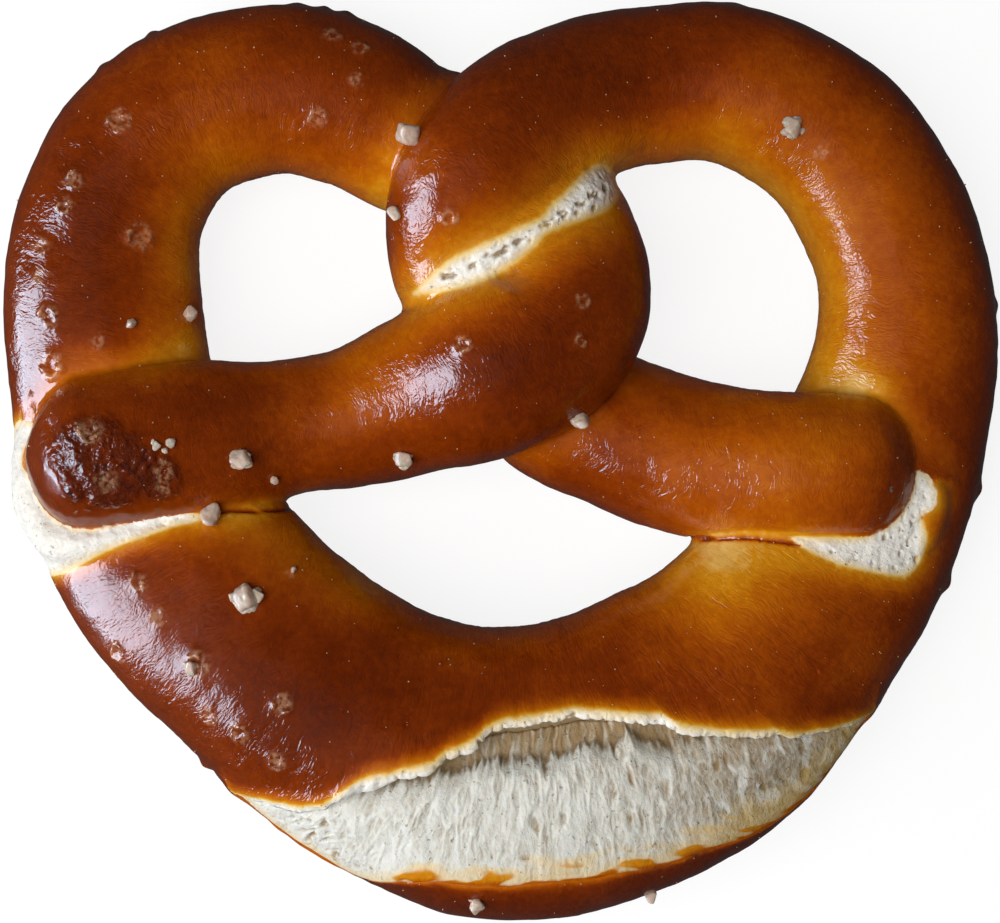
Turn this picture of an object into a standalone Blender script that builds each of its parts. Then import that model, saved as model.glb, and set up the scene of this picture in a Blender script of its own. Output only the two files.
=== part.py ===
"""Soft pretzel: one rope of dough, thick at the belly, whose arms cross twice in a full twist
and whose ends lie on the belly's two hips. The belly has split open along its outer side.

Run it in Blender: blender --background --python part.py
Sizes are in millimetres in the tables below, and in metres in the scene. +Z is up, the tray is z = 0,
+X runs to the pretzel's right and +Y to its arms, with the origin under the middle.
"""

import math

import bmesh
import bpy
import numpy as np

MM = 0.001

# Driving sizes, in millimetres.
UNDER = -3.0  # how far a rope that lies on the tray would bulge below it, which the tray cuts flat
ARM_TOP = 21.0  # crest of an arm that lies on the tray
CROSSED_TOP = 17.5  # crest of the rope that is pressed under the other at a crossing
TWIST_TOP = 32.0  # crest of the rope that runs over the other
END_TOP = 29.0  # crest of the two ends, on the hips
BELLY_TOP = 31.0  # crest of the belly
TIP_ROUND = 9.5  # length over which each tip rounds off
SEAM_TIP_ROUND = 3.0  # the same, for the torn dough in the seams
CAP = 0.02  # share of that length left as the small flat cap at a tip's end

RING_SPACING = 1.2  # between the loft's sections
RING_POINTS = 60  # round one section
VOXEL = 1.15  # grain of the fusing of the crossed ropes
SMOOTHING = 3  # passes that take the voxel steps off
KEPT_SHARE = 0.105  # of the fused mesh's triangles
TRAY_BLOCK = (200.0, 200.0, 20.0)  # the block that cuts the underside flat

# The rope from the left tip to the right one. Each station is its middle (x, y), its underside and
# crest heights, and its width.
LEFT_END = [
    (-71.4, 0.3, 9.0, 24.0, 22.6),
    (-62.0, 0.7, 7.5, END_TOP, 22.8),
    (-52.0, 2.1, 7.0, END_TOP, 23.4),
    (-42.5, 3.0, 4.0, 26.5, 23.6),
    (-31.5, 4.9, -2.0, 22.0, 20.4),
    (-22.5, 6.3, UNDER, 22.0, 21.0),
]
LOBE_OVER = [
    (-13.5, 9.2, 0.0, 26.0, 24.0),
    (-3.0, 13.2, 6.0, TWIST_TOP, 27.2),
    (7.4, 19.5, 7.0, TWIST_TOP, 27.0),
    (10.0, 28.5, 4.0, 28.5, 24.0),
]
LEFT_UNDER = [
    (7.6, 36.9, UNDER, 21.5, 22.4),
    (2.5, 43.5, UNDER, CROSSED_TOP, 22.0),
    (-5.2, 47.1, UNDER, CROSSED_TOP, 22.0),
    (-13.8, 49.2, UNDER, 19.5, 24.0),
]
LEFT_ARM = [
    (-22.4, 53.7, UNDER, ARM_TOP, 25.0),
    (-35.0, 56.1, UNDER, ARM_TOP, 25.6),
    (-49.6, 51.2, UNDER, ARM_TOP, 26.4),
    (-58.5, 38.7, UNDER, ARM_TOP, 27.6),
    (-60.3, 23.5, UNDER, ARM_TOP, 29.8),
]
BELLY = [
    (-58.4, 8.0, UNDER, 20.0, 31.6),
    (-54.6, -5.5, UNDER, 20.5, 34.6),
    (-46.5, -18.4, UNDER, 25.0, 36.6),
    (-34.4, -30.0, UNDER, 28.5, 36.8),
    (-19.2, -41.2, UNDER, 30.5, 39.6),
    (-1.9, -47.0, UNDER, BELLY_TOP, 43.8),
    (15.0, -44.9, UNDER, BELLY_TOP, 43.4),
    (30.3, -37.3, UNDER, 29.5, 42.0),
    (42.3, -25.3, UNDER, 26.5, 37.2),
    (51.8, -11.3, UNDER, 22.5, 35.0),
]
RIGHT_ARM = [
    (59.0, 4.5, UNDER, 20.0, 30.6),
    (61.8, 19.0, UNDER, ARM_TOP, 27.2),
    (59.9, 32.5, UNDER, ARM_TOP, 25.8),
    (51.2, 47.8, UNDER, ARM_TOP, 25.4),
    (36.5, 56.3, UNDER, ARM_TOP, 24.4),
    (22.0, 56.5, UNDER, ARM_TOP, 24.0),
]
RIGHT_OVER = [
    (10.5, 53.1, 0.0, 26.0, 24.4),
    (1.2, 47.8, 6.5, 30.5, 23.6),
    (-4.6, 39.1, 7.0, 31.0, 23.0),
    (-5.2, 29.3, 2.0, 26.5, 22.6),
]
RIGHT_UNDER = [
    (-0.2, 20.5, UNDER, 19.5, 22.0),
    (7.2, 10.1, UNDER, CROSSED_TOP, 24.4),
    (17.6, 3.9, UNDER, 19.5, 23.6),
]
RIGHT_END = [
    (30.0, -0.2, 0.0, 23.5, 23.8),
    (42.0, -1.3, 5.0, 27.5, 22.6),
    (52.5, -1.7, 7.5, 27.5, 22.6),
    (62.4, -2.3, 9.0, 24.0, 22.0),
]

# Torn dough that bridges the seams: the same five values, along each seam.
TWIST_SEAM = [
    (-13.0, 25.8, 12.0, 23.5, 4.0),
    (-4.0, 29.5, 14.0, 27.5, 6.0),
    (5.0, 34.0, 14.0, 27.5, 6.0),
    (13.0, 39.0, 12.0, 24.5, 9.0),
    (17.5, 42.5, 8.0, 18.5, 7.0),
]
LEFT_SEAM = [
    (-70.6, 5.5, 2.0, 13.0, 4.0),
    (-69.2, -5.5, 4.0, 17.5, 7.0),
    (-64.6, -12.3, 6.0, 21.0, 8.0),
    (-55.0, -11.8, 8.0, 22.5, 7.0),
    (-46.0, -9.8, 8.0, 21.5, 4.0),
]
RIGHT_SEAM = [
    (44.5, -12.9, 10.0, 22.5, 4.0),
    (53.5, -14.1, 8.0, 22.0, 7.0),
    (60.5, -13.5, 6.0, 20.5, 8.0),
    (63.6, -8.5, 6.0, 20.0, 8.0),
    (64.6, -2.0, 6.0, 19.5, 6.0),
]

# The belly's split, in plan: along X, the upper lip's y and the lower edge's y.
SPLIT_X = (-36.0, -26.0, -12.0, 0.0, 12.0, 26.0, 40.0, 52.5)
SPLIT_LIP_Y = (-52.5, -50.5, -46.5, -40.7, -38.3, -40.1, -41.5, -41.5)
SPLIT_LOW_Y = (-53.5, -61.5, -64.9, -65.1, -63.3, -60.5, -54.3, -42.0)
SPLIT_DEPTH = 3.4  # of the crumb below the lifted crust, near the lip
LIP_RAMP = 1.5  # over which the crust's lip drops to that depth
SPLIT_REACH = 12.0  # width of the split at which it is as deep as that
SPLIT_FLOOR = 8.0  # height below which the dough hasn't split


def clear_scene():
    for thing in list(bpy.data.objects):
        bpy.data.objects.remove(thing)


def catmull_rom(stations, spacing):
    """Samples of a smooth curve through the stations, about spacing apart in plan."""
    knots = np.array(stations, float)
    knots = np.vstack([2 * knots[0] - knots[1], knots, 2 * knots[-1] - knots[-2]])
    samples = []
    for before, start, end, after in zip(knots, knots[1:], knots[2:], knots[3:]):
        count = max(2, round(float(np.linalg.norm((end - start)[:2])) / spacing))
        for t in np.arange(count) / count:
            samples.append(
                0.5 * (2 * start + (end - before) * t
                       + (2 * before - 5 * start + 4 * end - after) * t**2
                       + (3 * start - before - 3 * end + after) * t**3)
            )
    return np.array(samples + [knots[-2]])


def split_depth(x, y):
    """How far the open crumb lies below the dough's full form at (x, y)."""
    lip = np.interp(x, SPLIT_X, SPLIT_LIP_Y)
    low = np.interp(x, SPLIT_X, SPLIT_LOW_Y)
    down = (lip - y) / np.maximum(lip - low, 1e-6)
    inside = (down > 0) & (down < 1) & (x > SPLIT_X[0]) & (x < SPLIT_X[-1])
    taper = np.clip((lip - low) / SPLIT_REACH, 0, 1) * np.clip((lip - y) / LIP_RAMP, 0, 1)
    return np.where(inside, SPLIT_DEPTH * taper * (1 - np.clip(down, 0, 1)) ** 1.5, 0.0)


def rope_sections(stations, tip_round, split=False):
    """Elliptical sections along the stations, upright and square to the rope, rounding off at both tips."""
    samples = catmull_rom(stations, RING_SPACING)
    middle = samples[:, :2]
    heading = np.gradient(middle, axis=0)
    heading /= np.linalg.norm(heading, axis=1)[:, None]
    side = np.stack([heading[:, 1], -heading[:, 0]], axis=1)
    run = np.concatenate([[0], np.cumsum(np.linalg.norm(np.diff(middle, axis=0), axis=1))])
    to_tip = np.minimum(run, run[-1] - run)
    rounding = np.sqrt(1 - (1 - np.clip(to_tip / tip_round, CAP, 1)) ** 2)
    under, crest, width = samples[:, 2], samples[:, 3], samples[:, 4]
    turn = np.arange(RING_POINTS) * 2 * math.pi / RING_POINTS
    across = (rounding * width / 2)[:, None] * np.cos(turn)
    up = (under + crest)[:, None] / 2 + (rounding * (crest - under) / 2)[:, None] * np.sin(turn)
    points = np.stack(
        [middle[:, 0, None] + side[:, 0, None] * across, middle[:, 1, None] + side[:, 1, None] * across, up],
        axis=2,
    )
    if split:
        core = np.stack([middle[:, 0], middle[:, 1], (under + crest) / 2], axis=1)[:, None]
        inward = (core - points) / np.linalg.norm(core - points, axis=2)[..., None]
        on_top = points[..., 2] > SPLIT_FLOOR
        points = points + inward * (split_depth(points[..., 0], points[..., 1]) * on_top)[..., None]
    return points


def add_loft(form, sections):
    """Skins the sections into the bmesh, with a flat cap at each tip."""
    rings = [[form.verts.new(point * MM) for point in ring] for ring in sections]
    for ring, following in zip(rings, rings[1:]):
        for k in range(RING_POINTS):
            after = (k + 1) % RING_POINTS
            form.faces.new((ring[k], ring[after], following[after], following[k]))
    form.faces.new(rings[0][::-1])
    form.faces.new(rings[-1])


def fused_skin(lofts):
    """The outer skin of the overlapping lofts: a voxel remesh, without the pockets that it seals inside."""
    fuse = lofts.modifiers.new("fuse", "REMESH")
    fuse.mode = "VOXEL"
    fuse.voxel_size = VOXEL * MM
    graph = bpy.context.evaluated_depsgraph_get()
    skin = bpy.data.meshes.new_from_object(lofts.evaluated_get(graph))
    form = bmesh.new()
    form.from_mesh(skin)
    unseen = set(form.verts)
    shells = []
    while unseen:
        shell = set()
        reached = [unseen.pop()]
        while reached:
            vert = reached.pop()
            shell.add(vert)
            beside = {edge.other_vert(vert) for edge in vert.link_edges} & unseen
            unseen -= beside
            reached.extend(beside)
        shells.append(shell)
    pockets = sorted(shells, key=len)[:-1]
    bmesh.ops.delete(form, geom=[vert for pocket in pockets for vert in pocket], context="VERTS")
    form.to_mesh(skin)
    form.free()
    return skin


def dough(collection):
    """The rope and the torn seams, fused into one skin."""
    form = bmesh.new()
    rope = (
        LEFT_END + LOBE_OVER + LEFT_UNDER + LEFT_ARM + BELLY
        + RIGHT_ARM + RIGHT_OVER + RIGHT_UNDER + RIGHT_END
    )
    add_loft(form, rope_sections(rope, TIP_ROUND, split=True))
    for seam in (TWIST_SEAM, LEFT_SEAM, RIGHT_SEAM):
        add_loft(form, rope_sections(seam, SEAM_TIP_ROUND))
    bmesh.ops.recalc_face_normals(form, faces=form.faces)
    pretzel = bpy.data.objects.new("pretzel", bpy.data.meshes.new("lofts"))
    collection.objects.link(pretzel)
    form.to_mesh(pretzel.data)
    form.free()
    skin = fused_skin(pretzel)
    pretzel.modifiers.clear()
    pretzel.data = skin

    smooth = pretzel.modifiers.new("smooth", "SMOOTH")
    smooth.iterations = SMOOTHING
    thin = pretzel.modifiers.new("thin", "DECIMATE")
    thin.ratio = KEPT_SHARE
    return pretzel


def tray_cut(pretzel, cutters):
    """Cuts the underside flat at z = 0."""
    bpy.ops.mesh.primitive_cube_add(size=1)
    tray = bpy.context.object
    tray.name = "tray_block"
    tray.scale = [side * MM for side in TRAY_BLOCK]
    tray.location = (0, 0, -TRAY_BLOCK[2] * MM / 2)
    tray.hide_render = True
    tray.display_type = "WIRE"
    for holder in list(tray.users_collection):
        holder.objects.unlink(tray)
    cutters.objects.link(tray)
    flat = pretzel.modifiers.new("flat underside", "BOOLEAN")
    flat.operation = "DIFFERENCE"
    flat.object = tray


def crust():
    material = bpy.data.materials.new("crust")
    material.use_nodes = True
    shader = material.node_tree.nodes["Principled BSDF"]
    shader.inputs["Base Color"].default_value = (0.30, 0.085, 0.012, 1)
    shader.inputs["Roughness"].default_value = 0.3
    shader.inputs["Metallic"].default_value = 0.0
    return material


def main():
    clear_scene()
    parts = bpy.data.collections.new("soft_pretzel")
    cutters = bpy.data.collections.new("cutters")
    for collection in (parts, cutters):
        bpy.context.scene.collection.children.link(collection)
    pretzel = dough(parts)
    tray_cut(pretzel, cutters)
    pretzel.data.materials.append(crust())
    pretzel.data.shade_smooth()


main()
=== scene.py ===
"""Looks of a soft pretzel: the browned crust with its wrinkles, blisters and one burnt tip, the crumb
torn open at the belly and in the seams, the salt, and the stage it is shown on.

The dough is worked out in millimetres, as the tables below give it, and written to the scene in metres.
"""

import math
from collections import namedtuple
from contextlib import contextmanager
from itertools import product

import bmesh
import bpy
import numpy as np
from bpy.props import FloatProperty, FloatVectorProperty, IntProperty, PointerProperty
from bpy.types import Operator, Panel, PropertyGroup
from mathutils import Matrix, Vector
from mathutils.bvhtree import BVHTree


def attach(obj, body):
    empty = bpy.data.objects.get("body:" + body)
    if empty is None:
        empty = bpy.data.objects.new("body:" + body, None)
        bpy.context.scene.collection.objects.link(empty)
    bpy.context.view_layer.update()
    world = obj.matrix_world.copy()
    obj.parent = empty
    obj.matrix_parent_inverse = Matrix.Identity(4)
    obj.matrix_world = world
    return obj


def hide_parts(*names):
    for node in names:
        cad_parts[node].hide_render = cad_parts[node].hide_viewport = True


bl_info = {
    "name": "Soft Pretzel",
    "version": (1, 0, 0),
    "blender": (4, 5, 0),
    "location": "View3D > Sidebar > Pretzel",
    "description": "Makes a soft pretzel's crust, torn crumb and salt round its solid",
    "category": "Add Mesh",
}

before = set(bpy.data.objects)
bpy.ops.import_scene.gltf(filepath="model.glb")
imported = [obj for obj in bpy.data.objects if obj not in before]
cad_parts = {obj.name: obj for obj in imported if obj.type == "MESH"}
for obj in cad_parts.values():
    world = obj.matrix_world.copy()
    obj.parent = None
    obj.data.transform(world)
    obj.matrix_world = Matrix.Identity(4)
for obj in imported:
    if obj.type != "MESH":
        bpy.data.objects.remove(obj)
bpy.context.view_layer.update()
MM = 0.001

# The rope from the left tip to the right one. Each station is its middle (x, y), its underside and
# crest heights, and its width.
UNDER = -3.0  # how far a rope that lies on the tray would bulge below it, which the tray keeps flat
ARM_TOP = 21.0
CROSSED_TOP = 17.5
TWIST_TOP = 32.0
END_TOP = 29.0
BELLY_TOP = 31.0
LEFT_END = [
    (-70.4, 0.3, 9.0, 24.0, 22.6),
    (-62.0, 0.7, 7.5, END_TOP, 22.8),
    (-52.0, 2.1, 7.0, END_TOP, 23.4),
    (-42.5, 3.0, 4.0, 26.5, 23.6),
    (-31.5, 4.9, -2.0, 22.0, 20.4),
    (-22.5, 6.3, UNDER, 22.0, 21.0),
]
LOBE_OVER = [
    (-13.5, 9.2, 0.0, 26.0, 24.0),
    (-3.0, 13.2, 6.0, TWIST_TOP, 27.2),
    (7.4, 19.5, 7.0, TWIST_TOP, 27.0),
    (10.0, 28.5, 4.0, 28.5, 24.0),
]
LEFT_UNDER = [
    (7.6, 36.9, UNDER, 21.5, 22.4),
    (2.5, 43.5, UNDER, CROSSED_TOP, 22.0),
    (-5.2, 47.1, UNDER, CROSSED_TOP, 22.0),
    (-13.8, 49.2, UNDER, 19.5, 24.0),
]
LEFT_ARM = [
    (-22.4, 53.7, UNDER, ARM_TOP, 25.0),
    (-35.0, 56.1, UNDER, ARM_TOP, 25.6),
    (-49.6, 51.2, UNDER, ARM_TOP, 26.4),
    (-58.5, 38.7, UNDER, ARM_TOP, 27.6),
    (-60.3, 23.5, UNDER, ARM_TOP, 29.8),
]
BELLY = [
    (-58.4, 8.0, UNDER, 20.0, 31.6),
    (-54.6, -5.5, UNDER, 20.5, 34.6),
    (-46.5, -18.4, UNDER, 25.0, 36.6),
    (-34.4, -30.0, UNDER, 28.5, 36.8),
    (-19.2, -41.2, UNDER, 30.5, 39.6),
    (-1.9, -47.0, UNDER, BELLY_TOP, 43.8),
    (15.0, -44.9, UNDER, BELLY_TOP, 43.4),
    (30.3, -37.3, UNDER, 29.5, 42.0),
    (42.3, -25.3, UNDER, 26.5, 37.2),
    (51.8, -11.3, UNDER, 22.5, 35.0),
]
RIGHT_ARM = [
    (59.0, 4.5, UNDER, 20.0, 30.6),
    (61.8, 19.0, UNDER, ARM_TOP, 27.2),
    (59.9, 32.5, UNDER, ARM_TOP, 25.8),
    (51.2, 47.8, UNDER, ARM_TOP, 25.4),
    (36.5, 56.3, UNDER, ARM_TOP, 24.4),
    (22.0, 56.5, UNDER, ARM_TOP, 24.0),
]
RIGHT_OVER = [
    (10.5, 53.1, 0.0, 26.0, 24.4),
    (1.2, 47.8, 6.5, 30.5, 23.6),
    (-4.6, 39.1, 7.0, 31.0, 23.0),
    (-5.2, 29.3, 2.0, 26.5, 22.6),
]
RIGHT_UNDER = [
    (-0.2, 20.5, UNDER, 19.5, 22.0),
    (7.2, 10.1, UNDER, CROSSED_TOP, 24.4),
    (17.6, 3.9, UNDER, 19.5, 23.6),
]
RIGHT_END = [
    (30.0, -0.2, 0.0, 23.5, 23.8),
    (42.0, -1.3, 5.0, 27.5, 22.6),
    (52.5, -1.7, 7.5, 27.5, 22.6),
    (62.4, -2.3, 9.0, 24.0, 22.0),
]

# Torn dough that bridges the seams: the same five values, along each seam.
TWIST_SEAM = [
    (-14.0, 24.6, 12.0, 23.5, 6.0),
    (-4.0, 29.3, 14.0, 27.6, 11.0),
    (5.0, 33.6, 14.0, 27.8, 11.0),
    (12.5, 38.8, 12.0, 25.0, 10.0),
    (17.0, 42.2, 8.0, 19.5, 7.0),
]
LEFT_SEAM = [
    (-71.2, 7.0, 2.0, 14.0, 4.5),
    (-70.2, -3.5, 4.0, 17.0, 7.0),
    (-68.0, -9.5, 5.0, 18.5, 8.0),
    (-64.0, -12.6, 6.0, 21.0, 8.0),
    (-55.0, -11.8, 8.0, 22.5, 7.0),
    (-46.0, -9.8, 8.0, 21.5, 4.0),
]
RIGHT_SEAM = [
    (44.5, -12.9, 10.0, 22.5, 4.0),
    (53.5, -14.1, 8.0, 22.0, 7.0),
    (60.5, -13.5, 6.0, 20.5, 8.0),
    (63.6, -8.5, 6.0, 20.0, 8.0),
    (64.6, -2.0, 6.0, 19.5, 6.0),
]

# Where the seams' torn crumb shows, as outlines in plan, and how far the crust beside it stays pale.
TORN_LEFT = [
    (-73.5, 4.5), (-74.5, -1.8), (-73.5, -9.0), (-71.5, -14.0), (-69.0, -17.5), (-64.5, -16.7),
    (-59.2, -14.1), (-53.1, -11.6), (-47.8, -9.9), (-44.2, -8.8), (-50.0, -6.5), (-60.0, -6.0),
    (-67.0, 0.0), (-68.5, 3.5), (-70.5, 5.5),
]
TORN_RIGHT = [
    (43.0, -11.8), (48.5, -11.9), (54.0, -11.7), (55.6, -10.1), (57.6, -8.2), (58.9, -7.0), (60.7, -3.8),
    (60.9, -1.9), (63.0, -2.3), (64.6, -4.6), (64.6, -7.0), (63.0, -8.4), (62.3, -9.2), (62.9, -11.7),
    (62.1, -15.3), (60.3, -17.0), (58.0, -17.2), (54.0, -16.4), (50.1, -15.5), (46.2, -13.9),
]
TORN_TWIST = [
    (-12.6, 24.0), (-7.0, 24.6), (-1.7, 26.3), (1.7, 28.2), (4.7, 30.6), (6.6, 32.6), (9.3, 33.9),
    (12.8, 35.2), (15.7, 36.7), (17.8, 39.2), (17.6, 42.0), (15.2, 43.4), (13.0, 42.4), (10.5, 39.6),
    (7.6, 36.7), (5.9, 34.8), (2.3, 33.2), (-1.2, 31.6), (-5.9, 29.5), (-8.7, 27.7), (-11.9, 25.0),
]
TORN_SEAMS = [(TORN_LEFT, 1.8), (TORN_RIGHT, 3.0), (TORN_TWIST, 6.5)]

# The belly's split: run along the rope, and the angle round the section (0 is the outer side, 90 the
# crest) of the lifted lip and of the lower edge.
SPLIT_LIP = [
    (264, 16), (267, 31), (270, 42), (272, 48), (274, 56), (275, 65), (276.5, 74), (278.5, 80), (281, 86),
    (285, 93), (286.5, 99), (290, 105), (292, 110), (293.5, 113), (297, 115), (303, 116), (309, 116),
    (313, 112), (317, 107), (322, 101), (323.5, 94), (326.5, 87), (331, 75), (333.5, 68), (335, 59),
    (337.5, 49), (340, 38), (342, 28), (344, 16),
]
SPLIT_LOW = [
    (264, 14), (268, 11), (275, 9), (281, 11), (283.5, 20), (286, 33), (288, 38), (290, 42), (294.5, 45),
    (299, 47), (303, 46), (307.5, 43), (311.5, 41), (316, 37), (318.5, 36), (321.5, 31), (325, 24),
    (329, 18), (333, 14), (338, 12), (344, 14),
]


def length(name, description, millimetres):
    """A size in the sidebar, given here in millimetres."""
    return FloatProperty(name=name, description=description, default=millimetres * MM,
                         min=0.0, precision=5, unit="LENGTH")


def tint(name, description, srgb):
    """A colour in the sidebar, given here as 0 to 255 on the screen."""
    linear = [((c / 255 + 0.055) / 1.055) ** 2.4 if c > 10 else c / 255 / 12.92 for c in srgb]
    return FloatVectorProperty(name=name, description=description, default=linear,
                               min=0.0, max=1.0, size=3, subtype="COLOR")


def amount(name, description, value, highest=10.0):
    """A plain number in the sidebar."""
    return FloatProperty(name=name, description=description, default=value, min=0.0, max=highest)


class PretzelDough(PropertyGroup):
    grain: length("Grain", "Spacing of the points of the fused skin", 0.5)
    triangles: IntProperty(name="Triangles", description="Most triangles the crust may keep",
                           default=190000, min=1000, max=199000)
    lumps: length("Lumps", "Height of the low swellings under the skin", 0.42)
    wrinkles: length("Wrinkles", "Height of the skin's fine wrinkles", 0.056)
    crags: length("Crags", "Height of the burnt tip's craggy skin", 0.17)
    pores: length("Pores", "Depth of the torn crumb's pores", 0.45)


class PretzelSplit(PropertyGroup):
    floor: length("Floor", "Depth of the split's hollow below the crust", 5.6)
    rim: length("Rim", "Width of the white edge below the crust's lip", 0.7)
    undercut: length("Undercut", "How far the hollow reaches under the lip", 1.1)
    lift: length("Lift", "How much the lip stands up", 0.5)
    fibres: length("Fibres", "Height of the pulled fibres of the crumb", 0.30)


class PretzelColours(PropertyGroup):
    char: tint("Char", "Burnt crust", (60, 24, 18))
    mahogany: tint("Mahogany", "Darkest sound crust", (100, 34, 2))
    chestnut: tint("Chestnut", "Dark crust", (130, 50, 3))
    russet: tint("Russet", "Middling crust", (163, 75, 4))
    amber: tint("Amber", "Light crust", (187, 102, 6))
    golden: tint("Golden", "Crust beside the tears", (208, 139, 20))
    straw: tint("Straw", "Hardly browned skin", (229, 193, 108))
    cream: tint("Cream", "Unbrowned skin", (236, 222, 182))
    crumb: tint("Crumb", "Torn crumb", (242, 240, 233))
    sheet: tint("Sheet", "Crumb on show in the split", (219, 219, 212))
    # Hollow and pit are painted shade: colours the crumb is given where shade falls on it, deep in the
    # split, in its holes, on its right part, over the left seam, between strands and down pits.
    hollow: tint("Hollow", "Crumb deep in the split", (152, 128, 92))
    pit: tint("Pit", "Shade in the crumb's pits", (104, 84, 60))
    salt: tint("Salt", "Salt grains", (226, 206, 188))
    dust: tint("Dust", "Fine salt on the crust", (232, 186, 142))


class PretzelStage(PropertyGroup):
    height: length("Camera height", "Height of the camera above the tray", 420.0)
    lens: FloatProperty(name="Lens", description="Focal length of the camera, in millimetres",
                        default=97.3, min=10.0, max=300.0)
    window: amount("Window", "Power of the light from the window at the left, in watts", 3.2, 100.0)
    glint: amount("Glint", "Power of the window's shine on the crust, in watts", 14.0, 200.0)
    ceiling: amount("Ceiling", "Power of the soft light overhead, in watts", 17.5, 100.0)
    glow: amount("Glow", "How much the floor glows, so that it looks white", 0.94, 2.0)
    ambient: amount("Ambient", "Brightness of the room above", 0.03, 2.0)
    under: amount("Under", "Brightness of the room that the crust mirrors below", 0.05, 2.0)
    bounce: amount("Bounce", "Power of the light thrown back by the table, in watts", 2.8, 100.0)
    floor: tint("Floor", "The plain floor", (246, 246, 246))


# ---------------------------------------------------------------- numbers over points

WORD = 0xFFFFFFFF  # the noise mixes each cell's place into a number of 32 bits
HALF_WORD = 0xFFFF
MIX_SEED = 0x9E3779B1
MIX_AXES = (0x8DA6B343, 0xD8163841, 0xCB1AB31F)
MIX_STEPS = ((15, 0x2C1B3C6D), (12, 0x297A2D39), (15, 1))


def smoothstep(low, high, value):
    """0 at low, 1 at high, and smooth between them."""
    share = np.clip((value - low) / (high - low), 0, 1)
    return share * share * (3 - 2 * share)


def bell(distance, width):
    """1 at no distance, falling off smoothly over the width."""
    return np.exp(-((distance / width) ** 2))


def cell_directions(cells, seed):
    """A unit vector for each cell of a lattice, which looks random and is always the same."""
    mixed = np.full(len(cells), seed * MIX_SEED & WORD, np.uint64)
    for k, odd in enumerate(MIX_AXES):
        mixed ^= (cells[:, k].astype(np.int64) & WORD).astype(np.uint64) * np.uint64(odd)
        mixed &= np.uint64(WORD)
    for shift, odd in MIX_STEPS:
        mixed = (mixed ^ (mixed >> np.uint64(shift))) * np.uint64(odd) & np.uint64(WORD)
    up = (mixed & np.uint64(HALF_WORD)).astype(float) / (HALF_WORD / 2) - 1
    turn = (mixed >> np.uint64(16)).astype(float) * (2 * math.pi / (HALF_WORD + 1))
    flat = np.sqrt(1 - up * up)
    return np.stack([flat * np.cos(turn), flat * np.sin(turn), up], axis=1)


def noise(points, size, seed=0):
    """Smooth noise from about -1 to 1, with features of the given size, one or one for each axis."""
    scaled = points / np.asarray(size, float)
    cells = np.floor(scaled).astype(np.int64)
    offset = scaled - cells
    fade = offset * offset * offset * (offset * (offset * 6 - 15) + 10)
    total = np.zeros(len(points))
    for corner in product((0, 1), repeat=3):
        corner = np.array(corner)
        weight = np.prod(np.where(corner, fade, 1 - fade), axis=1)
        total += weight * np.sum(cell_directions(cells + corner, seed) * (offset - corner), axis=1)
    return 1.5 * total


def layered(points, layers, base=0.0):
    """The base with noises added to it: each layer's height, size and seed."""
    for height, size, seed in layers:
        base = base + height * noise(points, size, seed)
    return base


def ridged(points, layers):
    """Like layered, of noises with sharp crests, each from about -1 to 1."""
    return sum(height * (1 - 3 * np.abs(noise(points, size, seed))) for height, size, seed in layers)


def flat_points(*columns):
    """Points for the noise from one, two or three columns of numbers."""
    filled = list(columns) + [np.zeros(len(columns[0]))] * (3 - len(columns))
    return np.stack(filled, axis=1)


def read_table(table, at):
    """A table's second column, read between the places in its first."""
    return np.interp(at, *np.transpose(table))


def spline(before, start, end, after, t):
    """The place between start and end, at t from 0 to 1, on the smooth curve through all four."""
    return 0.5 * (2 * start + (end - before) * t + (2 * before - 5 * start + 4 * end - after) * t**2
                  + (3 * start - before - 3 * end + after) * t**3)


def closed_curve(corners, steps=4):
    """Points of a smooth closed curve through the corners."""
    knots = np.array(corners, float)
    before, after, beyond = (np.roll(knots, shift, 0) for shift in (1, -1, -2))
    curve = [spline(before, knots, after, beyond, t) for t in np.arange(steps) / steps]
    return np.stack(curve, axis=1).reshape(-1, 2)


def plan_distance(points, x, y):
    return np.hypot(points[:, 0] - x, points[:, 1] - y)


def edge_distance(start, end, points):
    """Distance in plan from each point to one straight edge."""
    (ax, ay), (bx, by) = start, end
    x, y = points[:, 0], points[:, 1]
    along = ((x - ax) * (bx - ax) + (y - ay) * (by - ay)) / ((bx - ax) ** 2 + (by - ay) ** 2)
    along = np.clip(along, 0, 1)
    return np.hypot(x - ax - along * (bx - ax), y - ay - along * (by - ay))


def line_distance(line, points):
    """Distance in plan from each point to an open line of straight edges."""
    return np.min([edge_distance(start, end, points) for start, end in zip(line, line[1:])], axis=0)


def inside_distance(outline, points):
    """Distance in plan from each point to the closed outline, positive inside it."""
    x, y = points[:, 0], points[:, 1]
    nearest = np.full(len(points), np.inf)
    crossings = np.zeros(len(points), int)
    for (ax, ay), (bx, by) in zip(outline, np.roll(outline, -1, axis=0)):
        nearest = np.minimum(nearest, edge_distance((ax, ay), (bx, by), points))
        if ay != by:
            crossings += ((ay > y) != (by > y)) & (x < (bx - ax) * (y - ay) / (by - ay) + ax)
    return np.where(crossings % 2 == 1, nearest, -nearest)


# ---------------------------------------------------------------- the rope of dough

ROPE_STEP = 0.8  # between the rope's sections
RING_POINTS = 90  # round one section
BATCH = 20000  # points whose sections are found at a time
TIP_ROUND = 9.5  # length over which each tip rounds off
SEAM_TIP_ROUND = 3.0
CAP = 0.02  # share of that length left as the small flat cap at a tip's end
FIND_STEP = 3  # sections skipped between those that a point is first compared with
FIND_REACH = 8.0  # how far along the rope a section reaches in that comparison
PAST_TIP = 3.0  # beyond a tip, the distance that counts as much as one half width
OWN_LENGTH = 45.0  # of rope beside a point that counts as its own and not as another rope
FAR = 1e6  # puts its own length beyond every other rope


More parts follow.
